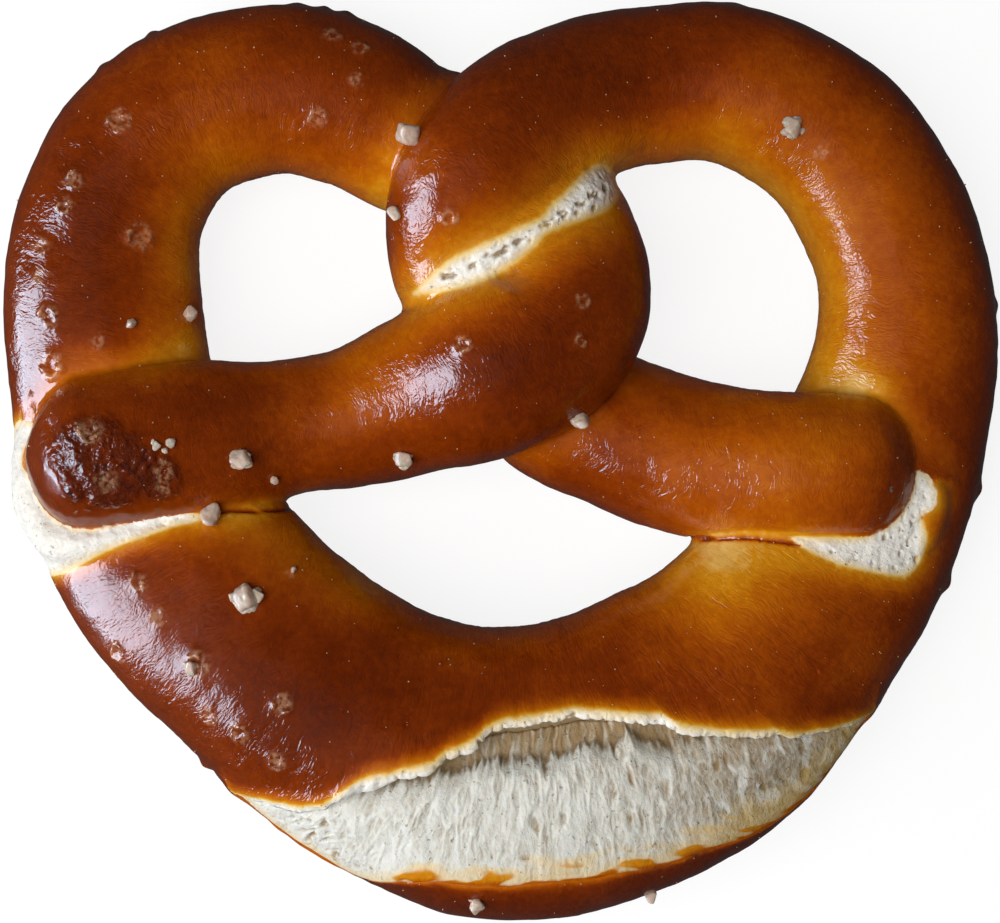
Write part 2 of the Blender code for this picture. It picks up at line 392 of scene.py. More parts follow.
class Rope:
    """A rope of dough, by its sections: where each is, which way it faces, and how wide and high it is."""

    def __init__(self, stations, tip_round=TIP_ROUND):
        samples = self.smooth_curve(np.array(stations, float))
        self.middle = samples[:, :2]
        heading = np.gradient(self.middle, axis=0)
        self.heading = heading / np.linalg.norm(heading, axis=1)[:, None]
        self.side = np.stack([self.heading[:, 1], -self.heading[:, 0]], axis=1)
        steps = np.linalg.norm(np.diff(self.middle, axis=0), axis=1)
        self.run = np.concatenate([[0], np.cumsum(steps)])
        self.level = (samples[:, 2] + samples[:, 3]) / 2
        to_tip = np.minimum(self.run, self.run[-1] - self.run)
        rounding = np.sqrt(1 - (1 - np.clip(to_tip / tip_round, CAP, 1)) ** 2)
        self.half_width = rounding * samples[:, 4] / 2
        self.half_height = rounding * (samples[:, 3] - samples[:, 2]) / 2

    @staticmethod
    def smooth_curve(knots):
        """Samples of a smooth curve through the stations, all five columns alike."""
        knots = np.vstack([2 * knots[0] - knots[1], knots, 2 * knots[-1] - knots[-2]])
        samples = []
        for before, start, end, after in zip(knots, knots[1:], knots[2:], knots[3:]):
            count = max(2, round(float(np.linalg.norm((end - start)[:2])) / ROPE_STEP))
            samples += [spline(before, start, end, after, t) for t in np.arange(count) / count]
        return np.array(samples + [knots[-2]])

    def at(self, run, values):
        """One of the rope's columns, read between its sections."""
        return np.interp(run, self.run, values)

    def both_at(self, run, pairs):
        """Like at, for a table of x and y."""
        return np.stack([self.at(run, pairs[:, k]) for k in (0, 1)], axis=-1)

    def points(self, run, turn, depth=0.0):
        """Points at the angle turn round the section at run, at a depth below the skin."""
        across = self.at(run, self.half_width) * np.cos(turn)
        up = self.at(run, self.half_height) * np.sin(turn)
        inward = 1 - depth / np.hypot(across, up)
        aside = self.both_at(run, self.side) * across[..., None] * inward[..., None]
        level = self.at(run, self.level) + up * inward
        return np.concatenate([self.both_at(run, self.middle) + aside, level[..., None]], axis=-1)

    def arc(self, run, turn):
        """Millimetres round the section for each radian, at an angle."""
        return np.hypot(self.at(run, self.half_width) * np.sin(turn),
                        self.at(run, self.half_height) * np.cos(turn))

    def sections(self):
        """Rings of points round every section."""
        turn = np.arange(RING_POINTS) * 2 * math.pi / RING_POINTS
        across = self.half_width[:, None] * np.cos(turn)
        up = self.level[:, None] + self.half_height[:, None] * np.sin(turn)
        x = self.middle[:, 0, None] + self.side[:, 0, None] * across
        y = self.middle[:, 1, None] + self.side[:, 1, None] * across
        return np.stack([x, y, up], axis=2)

    def nearest(self, points, away_from=None):
        """The section each point belongs to, or would belong to if its own rope weren't there."""
        picked = np.arange(0, len(self.run), FIND_STEP)
        best = np.zeros(len(points), int)
        for start in range(0, len(points), BATCH):
            rows = slice(start, start + BATCH)
            offset = points[rows, None, :2] - self.middle[picked]
            along = np.sum(offset * self.heading[picked], axis=2)
            across = np.sum(offset * self.side[picked], axis=2)
            up = points[rows, None, 2] - self.level[picked]
            far = ((along / FIND_REACH) ** 2 + (across / self.half_width[picked]) ** 2
                   + (up / self.half_height[picked]) ** 2)
            if away_from is not None:
                far += FAR * (np.abs(self.run[picked] - away_from[rows, None]) < OWN_LENGTH)
            best[rows] = picked[np.argmin(far, axis=1)]
        return best

    def offsets(self, points, run):
        """How far each point lies ahead of its section, and to the section's side."""
        offset = points[:, :2] - self.both_at(run, self.middle)
        return [np.sum(offset * self.both_at(run, way), axis=1) for way in (self.heading, self.side)]

    def place(self, points, away_from=None):
        """Run along the rope, angle round the section and depth below its skin, for each point."""
        run = self.run[self.nearest(points, away_from)]
        for _ in range(2):
            ahead, _ = self.offsets(points, run)
            run = np.clip(run + ahead, 0, self.run[-1])
        ahead, across = self.offsets(points, run)
        up = points[:, 2] - self.at(run, self.level)
        wide, high = self.at(run, self.half_width), self.at(run, self.half_height)
        turn = np.arctan2(up / high, across / wide)
        share = np.sqrt((across / wide) ** 2 + (up / high) ** 2 + (ahead / PAST_TIP) ** 2)
        depth = (1 - share) * np.hypot(wide * np.cos(turn), high * np.sin(turn)) - np.abs(ahead)
        return run, turn, depth


ROPE = Rope(
    LEFT_END + LOBE_OVER + LEFT_UNDER + LEFT_ARM + BELLY
    + RIGHT_ARM + RIGHT_OVER + RIGHT_UNDER + RIGHT_END
)
SEAM_ROPES = [Rope(seam, SEAM_TIP_ROUND) for seam in (LEFT_SEAM, RIGHT_SEAM, TWIST_SEAM)]


# ---------------------------------------------------------------- the belly's split

SPLIT_START, SPLIT_END = SPLIT_LIP[0][0], SPLIT_LIP[-1][0]
SPLIT_STEP = 0.3  # along the rope, of the cutter's sections
SPLIT_FULL = 7.0  # width of the split at which it is as deep as it gets
CUTTER_TRIM = 0.4  # by which the cutter stops short of the split's ends
CUTTER_TOP = -3.0  # depth of the cutter's top, which is above the skin
# Layers of noise, here and below: height, size of the features and seed.
LIP_TEETH = [(0.35, 3.1, 11), (0.16, 1.1, 12)]
LOW_WAVES = [(0.5, 6.0, 13), (0.2, 1.6, 14)]
RIM_RAGS = [(0.35, 1.0, 21), (1.1, 4.0, 22)]
RIM_LEAST, RIM_MOST = 0.2, 2.8


def split_edges(run):
    """Angles of the split's ragged lip and lower edge, in radians, at places along the rope."""
    lip, low = np.radians(read_table(SPLIT_LIP, run)), np.radians(read_table(SPLIT_LOW, run))
    teeth, waves = layered(flat_points(run), LIP_TEETH), layered(flat_points(run), LOW_WAVES)
    open_share = smoothstep(0.5, 6.0, (lip - low) * ROPE.arc(run, lip))
    return (lip + open_share * teeth / ROPE.arc(run, lip),
            low + open_share * waves / ROPE.arc(run, low))


def split_size(run):
    """The split's two edges, the millimetres of a radian between them, and the width in millimetres."""
    lip, low = split_edges(run)
    arc = ROPE.arc(run, (lip + low) / 2)
    return lip, low, arc, (lip - low) * arc


def split_place(run, turn):
    """How far below the lip and above the lower edge a place on the skin is, in millimetres."""
    lip, low, arc, _ = split_size(run)
    ends = np.minimum(run - SPLIT_START, SPLIT_END - run)
    return np.minimum((lip - turn) * arc, ends), np.minimum((turn - low) * arc, ends)


def split_cutter(sizes):
    """The closed solid that is taken out of the crust: its rim slopes, and its hollow reaches under
    the lip."""
    floor, rim, undercut = (value / MM for value in (sizes.floor, sizes.rim, sizes.undercut))
    run = np.arange(SPLIT_START + CUTTER_TRIM, SPLIT_END - CUTTER_TRIM, SPLIT_STEP)
    lip, _, arc, width = split_size(run)
    width = np.maximum(width, 0.3)
    full = smoothstep(0.0, SPLIT_FULL, width)
    wider = 1 + 2.0 * smoothstep(289, 277, run) + bell(run - 321, 3)  # the rim, in these places
    rags = np.clip(rim * layered(flat_points(run), RIM_RAGS, 1) * wider, RIM_LEAST, RIM_MOST) * full
    under, none, top = undercut * full, 0 * run, CUTTER_TOP + 0 * run
    # Each corner of the section: millimetres below the lip, then depth below the skin.
    corners = [(none, top), (none, none)]
    corners += [(k * rags, deep * full) for k, deep in ((0.5, 0.12), (0.95, 0.30), (1.0, 0.55), (0.45, 1.0))]
    corners += [(-k * under, deep * full) for k, deep in ((0.4, 1.8), (1.0, 2.8), (1.0, floor))]
    corners += [(width * k, floor * full) for k in (0.25, 0.5, 0.7)]
    corners += [(width - k * full, deep * full) for k, deep in ((1.2, 2.4), (0.3, 0.8))]
    corners += [(width, none)] + [(width * k, top) for k in (1.0, 0.75, 0.5, 0.25)]
    rings = [ROPE.points(run, lip - below / arc, depth) for below, depth in corners]
    return loft(np.stack(rings, axis=1), "split_cutter")


# ---------------------------------------------------------------- meshes

@contextmanager
def edited(mesh):
    """The mesh as a bmesh, written back to it afterwards."""
    form = bmesh.new()
    form.from_mesh(mesh)
    yield form
    form.to_mesh(mesh)
    form.free()


def quads(index):
    """The four-sided faces of a grid of point numbers."""
    return np.stack([index[:-1, :-1], index[:-1, 1:], index[1:, 1:], index[1:, :-1]], axis=2).reshape(-1, 4)


def closed_mesh(name, points, faces):
    """A mesh from points in millimetres, whose faces all come to look outwards."""
    mesh = bpy.data.meshes.new(name)
    mesh.from_pydata((points * MM).tolist(), [], faces)
    with edited(mesh) as form:
        bmesh.ops.triangulate(form, faces=[face for face in form.faces if len(face.verts) > 4])
        bmesh.ops.recalc_face_normals(form, faces=form.faces)
    return mesh


def loft(rings, name):
    """A closed mesh through the rings, which all have as many points, with a flat cap at each end."""
    index = np.arange(rings.shape[0] * rings.shape[1]).reshape(rings.shape[:2])
    around = np.concatenate([index, index[:, :1]], axis=1)
    faces = quads(around).tolist() + [index[0, ::-1].tolist(), index[-1].tolist()]
    return closed_mesh(name, rings.reshape(-1, 3), faces)


def add_object(name, data):
    """An object of the mesh, lamp or camera, in the scene."""
    thing = bpy.data.objects.new(name, data)
    bpy.context.scene.collection.objects.link(thing)
    return thing


def joined(name, meshes):
    """One object from several meshes."""
    form = bmesh.new()
    for mesh in meshes:
        form.from_mesh(mesh)
    whole = bpy.data.meshes.new(name)
    form.to_mesh(whole)
    form.free()
    return add_object(name, whole)


def add_modifier(thing, kind, **settings):
    modifier = thing.modifiers.new(kind.lower(), kind)
    for name, value in settings.items():
        setattr(modifier, name, value)
    return modifier


def bake_modifiers(thing):
    """Gives the object the mesh that its modifiers make, and takes them off."""
    graph = bpy.context.evaluated_depsgraph_get()
    made = bpy.data.meshes.new_from_object(thing.evaluated_get(graph))
    thing.modifiers.clear()
    thing.data = made


def numbers(collection, field, width, kind=np.float64):
    """One field of a mesh's points or edges, as a table."""
    values = np.empty(len(collection) * width, kind)
    collection.foreach_get(field, values)
    return values.reshape(-1, width) if width > 1 else values


def keep_biggest_shell(mesh):
    """Removes the pockets that fusing seals inside."""
    edges = numbers(mesh.edges, "vertices", 2, np.int32)
    label = np.arange(len(mesh.vertices))
    while True:
        before = label.copy()
        low = np.minimum(label[edges[:, 0]], label[edges[:, 1]])
        np.minimum.at(label, edges[:, 0], low)
        np.minimum.at(label, edges[:, 1], low)
        label = label[label]
        if np.array_equal(before, label):
            break
    pockets = np.flatnonzero(label != np.bincount(label).argmax())
    if len(pockets) == 0:
        return
    with edited(mesh) as form:
        form.verts.ensure_lookup_table()
        bmesh.ops.delete(form, geom=[form.verts[k] for k in pockets], context="VERTS")


def refine(mesh, wanted):
    """Halves the edges whose two ends are both wanted, and leaves only triangles and quads."""
    with edited(mesh) as form:
        edges = [edge for edge in form.edges if all(wanted[vert.index] for vert in edge.verts)]
        bmesh.ops.subdivide_edges(form, edges=edges, cuts=1, use_grid_fill=True)
        bmesh.ops.triangulate(form, faces=[face for face in form.faces if len(face.verts) > 4])


def give(mesh, **fields):
    """Stores numbers or vectors at the points of the mesh, for its material."""
    for name, values in fields.items():
        kind, part = ("FLOAT", "value") if values.ndim == 1 else ("FLOAT_VECTOR", "vector")
        stored = mesh.attributes.new(name, kind, "POINT")
        stored.data.foreach_set(part, values.astype(np.float32).ravel())


def finish_piece(piece, material):
    """Gives the piece its material, and says what it stands for."""
    piece.data.materials.clear()
    piece.data.materials.append(material)
    piece.data.shade_smooth()
    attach(piece, "root")
    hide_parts("pretzel")
    return piece


# ---------------------------------------------------------------- the crust

ROUND = 14  # millimetres that stand for a radian round the rope
TRAY_DEPTH = 20.0
TRAY_SIDE = 220.0
SKIN_SMOOTHING = 4
CRACK_SMOOTHING = 25
CRACK_SOFT = 3.0  # round the twist's crack, how far the skin is smoothed so
END_SKIRT = 13.0  # height above which an end rope's skin stays whole beside its torn seam
LOW_SKIN = 2.0  # height above the tray to which the matte underside reaches
OUTSIDE = -50.0  # stands for a place far outside every tear
LEFT_END_RUN, RIGHT_END_RUN = 50, 545  # along the rope, where the two end ropes stop and start
END_MARGIN = 0.25  # by which an end rope's skin keeps clear of its torn seam
END_SPREAD = 2.2  # how much faster the paleness beside the seam fades there
TWIST_INSET = 0.3  # by which the twist's torn crumb stays inside its outline
SEAM_LOW = 2.5  # height below which no seam is torn
PALE_BESIDE, PALE_BESIDE_TWIST = 0.35, 0.6  # width of the unbaked line along a seam's torn crumb

# Swellings on the skin: x, y, a height near them, their radius and how high they stand.
BUMPS = [
    (75.3, 23.2, 9, 1.3, 0.6), (72.8, -4.8, 9, 1.5, 0.8), (68.3, -19.2, 9, 1.6, 0.9),
    (-53.4, 65.0, 8, 1.3, 0.8), (-30.8, 69.0, 9, 1.6, 0.6), (-26.5, 68.6, 9, 1.2, 0.6),
    (61.6, 57.1, 8, 1.4, 0.5), (35.6, 69.0, 9, 2.0, 0.4), (-44.6, -46.3, 12, 1.4, 0.9),
    (-12.1, -68.0, 7, 1.6, 0.6), (3.0, -69.4, 6, 1.8, 0.7), (22.8, -67.6, 8, 1.4, 0.7),
    (-60.9, 60.0, 9, 1.4, 0.6), (-23.5, 67.0, 10, 1.2, 0.5), (56.9, 11.4, 20, 2.2, 0.5),
    (30.3, -36.5, 29, 1.8, 0.35), (19.7, -34.1, 30, 1.5, 0.3), (34.1, -6.3, 22, 1.4, 0.3),
]
# Burst blisters and the rings that melted salt has left: x, y, radius and height.
BLISTERS = [
    (-56.9, 50.3, 1.7, 0.75), (-27.1, 49.8, 1.4, 0.6), (-52.7, 32.8, 1.9, 0.7), (-7.2, 34.1, 1.2, 0.5),
    (47.3, 44.8, 1.2, 0.35), (-67.4, 20.5, 1.6, 0.7), (-67.1, 13.4, 1.8, 0.8), (-53.6, -17.9, 1.4, 0.5),
    (-50.7, -23.3, 1.2, 0.4), (-44.8, -30.6, 1.9, 0.8), (-32.1, -35.7, 1.4, 0.5), (-43.1, -38.0, 1.4, 0.6),
    (-38.6, -40.3, 1.4, 0.6), (-32.7, -44.6, 1.3, 0.5), (-56.9, -29.1, 1.5, 0.6), (-6.2, 16.3, 1.3, 0.5),
    (-20.4, 61.3, 1.1, 0.4), (-24.5, 63.6, 1.1, 0.4), (-20.9, 56.6, 1.0, 0.35), (-63.6, 41.2, 1.3, 0.5),
    (-65.1, 37.4, 1.2, 0.5), (-68.7, 31.6, 1.2, 0.5), (-69.1, 27.2, 1.1, 0.4), (-59.1, 16.7, 0.9, 0.3),
    (12.3, 23.2, 1.0, 0.3), (12.2, 16.6, 0.8, 0.3), (-30.4, -16.5, 0.6, 0.3), (-59.7, 4.4, 1.8, 0.6),
]
# The left tip's burnt skin: middle x, y and half sizes of each patch, the groove along it, and where
# ash or flour has stuck: x, y and radius.
BURNT = [(-58.8, 0.8, 6.6, 5.2), (-49.4, -2.8, 3.2, 3.4), (-57.5, -4.4, 6.0, 2.6), (-53.0, -0.5, 4.0, 2.6)]
GROOVE = [(-65.7, 4.8), (-63.9, 1.6), (-62.0, -1.7), (-60.0, -5.3)]
DUSTY = [(-60.1, 3.9, 1.7), (-48.9, -1.7, 1.7), (-49.2, -4.0, 1.4), (-57.2, -3.2, 2.0)]
# The twist's crack, along the middle of its torn crumb.
RIFT = [
    (-8.6, 25.9), (-3.0, 28.1), (0.0, 29.9), (3.0, 31.4), (6.7, 34.1), (10.4, 36.2), (13.3, 38.4),
    (15.5, 39.7),
]
# The slits that are left where an end rope lies on the belly: shallow grooves painted dark, as the shade in
# them.
SLITS = [[(28.5, -12.1), (32.5, -12.0), (36.4, -11.8), (40.0, -12.2), (44.0, -12.6)],
         [(-31.2, -7.6), (-36.0, -7.9), (-40.0, -7.8), (-43.5, -8.2)]]
# the slits' depth, and the dark bake painted in them as shade
SLIT_DEPTH, SLIT_SHADE_BAKE = 0.5, 0.86
SPLIT_FEATHER = 4.0  # how far outside the split its lip still lifts and pales
LIP_REACH = 2.2  # width of that lift and paling
LOW_WALL = 0.9  # of the cut at the lower edge, which stays browned
WALL_DEPTH = 0.9  # below the skin, from which the cut's walls are crumb
DUSKY = [(-54, -26, 19, 0.12)]  # a duller flank of the crust: x, y, radius and by how much
FIRST_BURNT, LAST_BURNT = 17, 21  # heights between which the burnt skin sets in

SWELLINGS = [(1.0, 19, 1), (0.5, 8, 2), (0.22, 3.6, 3)]
BURNT_EDGE = [(0.30, 4.0, 31), (0.16, 1.4, 32)]
BURNT_FOLDS = [(0.5, 2.6, 33), (0.7, 1.2, 34), (0.5, 0.7, 35)]
RING_EDGE = [(0.32, 1.6, 51), (0.2, 0.8, 52)]
RIM_FLUFF = [(0.26, 2.1, 47), (0.16, 0.6, 48)]
ROUND_BAKE = [(0.05, 7, 63), (0.04, 2.6, 64)]
PATCHY_BAKE = [(0.05, 11, 61), (0.03, 4, 62)]


def fused_dough(grain):
    """The outer skin of the rope and the torn seams."""
    lofts = [loft(ROPE.sections(), "rope")]
    lofts += [loft(seam.sections(), "seam") for seam in SEAM_ROPES]
    crust = joined("crust", lofts)
    add_modifier(crust, "REMESH", mode="VOXEL", voxel_size=grain)
    add_modifier(crust, "SMOOTH", iterations=SKIN_SMOOTHING)
    bake_modifiers(crust)
    keep_biggest_shell(crust.data)
    points = numbers(crust.data.vertices, "co", 3) / MM
    near_crack = inside_distance(TORN_TWIST, points) > -CRACK_SOFT
    soften(crust, np.flatnonzero(near_crack & (points[:, 2] > 12)), CRACK_SMOOTHING)
    return crust


def soften(thing, chosen, rounds):
    """Smooths the chosen points."""
    group = thing.vertex_groups.new(name="soft")
    group.add(chosen.tolist(), 1.0, "REPLACE")
    add_modifier(thing, "SMOOTH", iterations=rounds, vertex_group="soft")
    bake_modifiers(thing)
    thing.vertex_groups.clear()


def cut_away(thing, *cutters):
    """Takes the cutters out of the thing, and removes them."""
    for cutter in cutters:
        add_modifier(thing, "BOOLEAN", operation="DIFFERENCE", solver="MANIFOLD", object=cutter)
    bake_modifiers(thing)
    for cutter in cutters:
        bpy.data.objects.remove(cutter)


def tray_block():
    """The space below the pretzel, which keeps its underside flat."""
    mesh = bpy.data.meshes.new("tray_block")
    side, depth = TRAY_SIDE * MM, TRAY_DEPTH * MM
    with edited(mesh) as form:
        bmesh.ops.create_cube(form, size=1)
        for vert in form.verts:
            vert.co = (vert.co.x * side, vert.co.y * side, (vert.co.z - 0.5) * depth)
    return add_object("tray_block", mesh)


def torn_seams(points, run, depth):
    """Millimetres inside the seams' torn crumb, and how golden and how pale the crust beside it is."""
    on_end = ((run < LEFT_END_RUN) | (run > RIGHT_END_RUN)) & (points[:, 2] > END_SKIRT)
    inside = np.full(len(points), OUTSIDE)
    golden, pale = np.zeros(len(points)), np.zeros(len(points))
    for (outline, reach), seam in zip(TORN_SEAMS, SEAM_ROPES):
        here = inside_distance(closed_curve(outline), points)
        if outline is TORN_TWIST:
            here = here - TWIST_INSET
            away, beside = np.minimum(here, 0), PALE_BESIDE_TWIST
        else:
            clear = np.maximum(-seam.place(points)[2], 0) + 0.2
            away = np.minimum(here, 0)
            away = np.where(on_end, np.minimum(away, -END_SPREAD * clear), away)
            here = np.where(on_end, np.minimum(here, -depth - END_MARGIN), here)
            beside = PALE_BESIDE
        inside = np.maximum(inside, np.minimum(here, points[:, 2] - SEAM_LOW))
        golden = np.maximum(golden, bell(away, reach))
        pale = np.maximum(pale, bell(away, beside))
    return inside, golden, pale


def torn_split(run, turn, depth):
    """Millimetres inside the belly's split, counting its walls, and below its lip and above its low edge."""
    below, above = split_place(run, turn)
    inside = np.minimum(below, above - LOW_WALL)
    wall = np.where((inside > -2.0) & (below < above), depth - WALL_DEPTH, OUTSIDE)
    return np.maximum(inside, wall), below, above


Skin = namedtuple("Skin", "points normals edges run turn depth seam_inside golden pale "
                          "split_inside below above")


def read_skin(mesh):
    """The crust's points, where each lies on the rope, and how it lies to the tears."""
    points, normals = numbers(mesh.vertices, "co", 3) / MM, numbers(mesh.vertices, "normal", 3)
    run, turn, depth = ROPE.place(points)
    return Skin(points, normals, numbers(mesh.edges, "vertices", 2, np.int32), run, turn, depth,
                *torn_seams(points, run, depth), *torn_split(run, turn, depth))


def lump_relief(skin, height):
    """The skin's low swellings, and faint ridges along the rope."""
    along = flat_points(skin.run, ROUND * skin.turn)
    return height * layered(skin.points, SWELLINGS) + ridged(along, [(0.12 * height, (2.4, 9.0, 1.0), 4)])


def burnt_share(points):
    """How burnt the skin is, from 0 to 1."""
    share = np.zeros(len(points))
    wobble = layered(points, BURNT_EDGE)
    for x, y, half_x, half_y in BURNT:
        away = np.hypot((points[:, 0] - x) / half_x, (points[:, 1] - y) / half_y) + wobble
        share = np.maximum(share, smoothstep(1.25, 0.75, away))
    return share * smoothstep(FIRST_BURNT, LAST_BURNT, points[:, 2])


def crag_relief(points, burnt, height):
    """The burnt skin, blistered and broken, and the groove beside it."""
    groove = layered(points, [(0.35, 2.2, 36)], line_distance(GROOVE, points))
    groove = np.where(points[:, 2] > FIRST_BURNT, groove, -OUTSIDE)
    crags = burnt * (ridged(points, BURNT_FOLDS) + 0.3)
    return height * (crags + 1.6 * bell(groove - 1.5, 0.8) * burnt - 3.0 * bell(groove, 1.1))


def pore_relief(points, height):
    """Torn crumb, fluffy and pitted: its relief, and how far each point is down a pit."""
    wide, fine = noise(points, 1.3, 41), noise(points, 0.8, 42)
    pits = smoothstep(0.42, 0.75, wide) + 0.5 * smoothstep(0.35, 0.65, fine)
    pits = pits * (1 - 0.85 * smoothstep(-46, -58, points[:, 0]))  # the left seam is closer
    rift = layered(points, [(0.9, 1.3, 45)], line_distance(RIFT, points))
    pits = pits + 1.4 * bell(rift, 0.36) * smoothstep(-0.45, 0.1, noise(points, 1.6, 46))
    return height * (layered(points, [(0.45, 2.4, 43), (0.25, 0.8, 44)]) - pits), np.clip(pits, 0, 1)


def slit_share(points):
    """How near each point is to a slit, from 0 to 1."""
    away = np.min([line_distance(slit, points) for slit in SLITS], axis=0)
    away = away + 0.22 * np.abs(noise(points, 1.4, 57))
    gaps = smoothstep(-0.5, -0.1, noise(points, 3.5, 58))
    return bell(away, 0.34) * smoothstep(8, 11, points[:, 2]) * gaps


def top_point(points, x, y):
    """The highest point of the skin near a place in plan."""
    near = plan_distance(points, x, y) + np.where(points[:, 2] < 8, 5.0, 0.0)
    close = np.flatnonzero(near < near.min() + 0.6)
    return points[close[np.argmax(points[close, 2])]]


def bump_relief(points):
    """The single swellings' relief."""
    relief = np.zeros(len(points))
    for x, y, z, radius, height in BUMPS:
        middle = points[np.argmin(np.linalg.norm(points - (x, y, z), axis=1))]
        relief += height * bell(np.linalg.norm(points - middle, axis=1), radius)
    return relief


def blister_relief(points):
    """The rings' relief, and the film of salt left on them from 0 to 1."""
    relief, salt = np.zeros(len(points)), np.zeros(len(points))
    wobble = layered(points, RING_EDGE)
    broken = smoothstep(-0.25, 0.3, noise(points, 1.8, 53))
    for x, y, radius, height in BLISTERS:
        away = np.linalg.norm(points - top_point(points, x, y), axis=1) / radius + wobble
        ring = bell(away - 0.85, 0.24) * broken
        relief += height * (0.5 * ring + 0.35 * bell(away, 1.3) - 0.35 * bell(away, 0.5))
        salt = np.maximum(salt, np.maximum(ring, 0.6 * (1 - broken) * smoothstep(1.2, 0.8, away)))
    return relief, salt


# Paler (below zero) and darker places of the crust: x, y, radius, and by how much. Most are browning; some
# paler ones are painted light and shine, on the right arm's crest, the inner flanks of the left arm and the
# belly, and the end rope at the right.
BAKE_SPOTS = [
    (-3, 38, 11, 0.10), (2, 14, 9, 0.12), (-62, 30, 12, 0.06), (-20, -30, 14, 0.06), (17, 52, 9, 0.08),
    (13, -29, 9, 0.06), (-32, -38, 10, 0.10), (35, -20, 13, -0.24), (41, -17, 9, -0.14),
    (-33, -12, 8, -0.12), (-40, -10, 6, -0.12), (-44, 55, 12, -0.12), (-17, 46, 10, -0.08),
    (-12, 42, 5, -0.18), (-20, 11, 9, -0.22), (-33, 3, 8, -0.06), (17, 18, 6, -0.12), (29, 0, 8, -0.15),
    (40, 0, 8, -0.13), (51, 1, 8, -0.16), (52, -29, 7, -0.14), (38, -38, 7, -0.08), (-20, -19, 6, -0.20),
    (-31, 44, 8, 0.12), (43, 41, 7, 0.08), (49, 20, 7, 0.05), (30, 59, 8, 0.06), (-58, 38, 8, 0.06),
    (44, -26, 8, 0.10), (47, 3, 7, -0.08), (22, 3, 8, -0.08), (32, -18, 8, -0.08), (-4, 43, 7, -0.05),
    (13, 19, 7, 0.05), (15, -64, 8, -0.05), (-46, 32, 6, -0.10), (56, 38, 6, -0.06), (-30, -15, 7, -0.08),
    (43, 41, 6, -0.05), (-59, 20, 7, 0.05), (-48, -24, 7, 0.04),
]
# Places where the skin stayed paler still, in the creases between the ropes.
PALE_SPOTS = [
    (33, -13.4, 4.0, -0.12), (44, -12.6, 3.6, -0.14), (56.4, 10.9, 2.6, -0.10), (52, 9.5, 3.0, -0.10),
    (-46, 28, 3.0, -0.10), (-51, 13.4, 4.0, -0.08), (-40, -8.6, 4.0, -0.06),
]
BAKE = 0.76  # of most of the skin
BAKE_LEAST = 0.30  # of the skin away from the tears
# How far the skin beside a tear has browned: round the seams, at their very edge, beside the lip, at
# the lip's very edge, and beside the lower edge.
SEAM_BAKE, SEAM_EDGE_BAKE, LIP_BAKE, LIP_EDGE_BAKE, LOW_BAKE = 0.34, 0.08, 0.32, 0.14, 0.46
# Stretches of the rope: where each sets in, is full, fades and ends.
ON_BELLY, LOOPS = (215, 240, 350, 370), (120, 130, 455, 470)
BELOW_SPLIT, RIGHT_LOOP = (266, 276, 335, 345), (372, 392, 440, 460)
JUMP = 4.0  # along the rope, between neighbouring points that lie on two ropes
EVENING = 24  # rounds of averaging that soften where one rope's browning meets the next
STEADYING = 8  # rounds that widen the line between two ropes


def evened(values, edges, rounds):
    """The values at a mesh's points, averaged with those beside them."""
    count = np.bincount(edges.ravel(), minlength=len(values))
    for _ in range(rounds):
        total = np.bincount(edges[:, 0], values[edges[:, 1]], len(values))
        total += np.bincount(edges[:, 1], values[edges[:, 0]], len(values))
        values = 0.5 * values + 0.5 * total / count
    return values


def spotted(points, spots):
    """What the spots add at each point, each given by its x, y, radius and how much."""
    return sum(change * bell(plan_distance(points, x, y), radius) for x, y, radius, change in spots)


def stretch(run, ends):
    """1 on a stretch of the rope, down to 0 beyond it: where it sets in, is full, fades and ends."""
    start, full, fading, end = ends
    return smoothstep(start, full, run) * smoothstep(end, fading, run)


def open_bake(skin):
    """How far the skin has browned by its place on the rope: paler inside the loops, and darker low on
    the belly's outer side."""
    inner = layered(skin.points, ROUND_BAKE, np.abs(skin.turn) / math.pi)
    on_arm = (1 - stretch(skin.run, ON_BELLY)) * stretch(skin.run, LOOPS)
    level = BAKE + 0.10 * smoothstep(0.80, 0.5, skin.turn) * stretch(skin.run, BELOW_SPLIT)
    level -= 0.24 * smoothstep(0.62, 0.95, inner) * (1 - on_arm)
    level -= 0.31 * smoothstep(0.50, 0.88, inner) * on_arm
    return level - 0.14 * smoothstep(0.1, 0.45, inner) * stretch(skin.run, RIGHT_LOOP)


def crease_paling(skin):
    """How much paler the skin stayed close to another rope, above all under one that lies over it."""
    other_run, _, other_depth = ROPE.place(skin.points, away_from=skin.run)
    crease = np.maximum(-other_depth, 0)
    lies_over = ROPE.at(other_run, ROPE.level) > ROPE.at(skin.run, ROPE.level) + 1.0
    return np.where(lies_over, 0.28 * bell(crease, 4.5), 0.10 * bell(crease, 1.2))


def bake_level(skin):
    """How far the crust has browned, from 0, unbaked, to 1, charred; some of the paler spots are painted
    light.
    """
    level = open_bake(skin) + spotted(skin.points, BAKE_SPOTS) - crease_paling(skin)
    level += layered(skin.points, PATCHY_BAKE)
    level = np.maximum(evened(level, skin.edges, EVENING), BAKE_LEAST) + spotted(skin.points, PALE_SPOTS)
    below, above = skin.below, skin.above
    beside_lip = bell(np.minimum(below, 0), LIP_REACH) * (below > -SPLIT_FEATHER) * (below < above)
    lip_edge = bell(np.minimum(below, 0), 0.5) * (beside_lip > 0.5)
    beside_low = bell(np.minimum(above, 0), 0.8) * (above > -SPLIT_FEATHER) * (below > above)
    level -= (level - SEAM_BAKE) * skin.golden
    level -= (level - SEAM_EDGE_BAKE) * skin.pale
    level -= (level - LIP_BAKE) * 0.9 * beside_lip
    level -= (level - LIP_EDGE_BAKE) * lip_edge
    level -= (level - LOW_BAKE) * 0.9 * beside_low
    return np.clip(level, 0.02, 0.95)


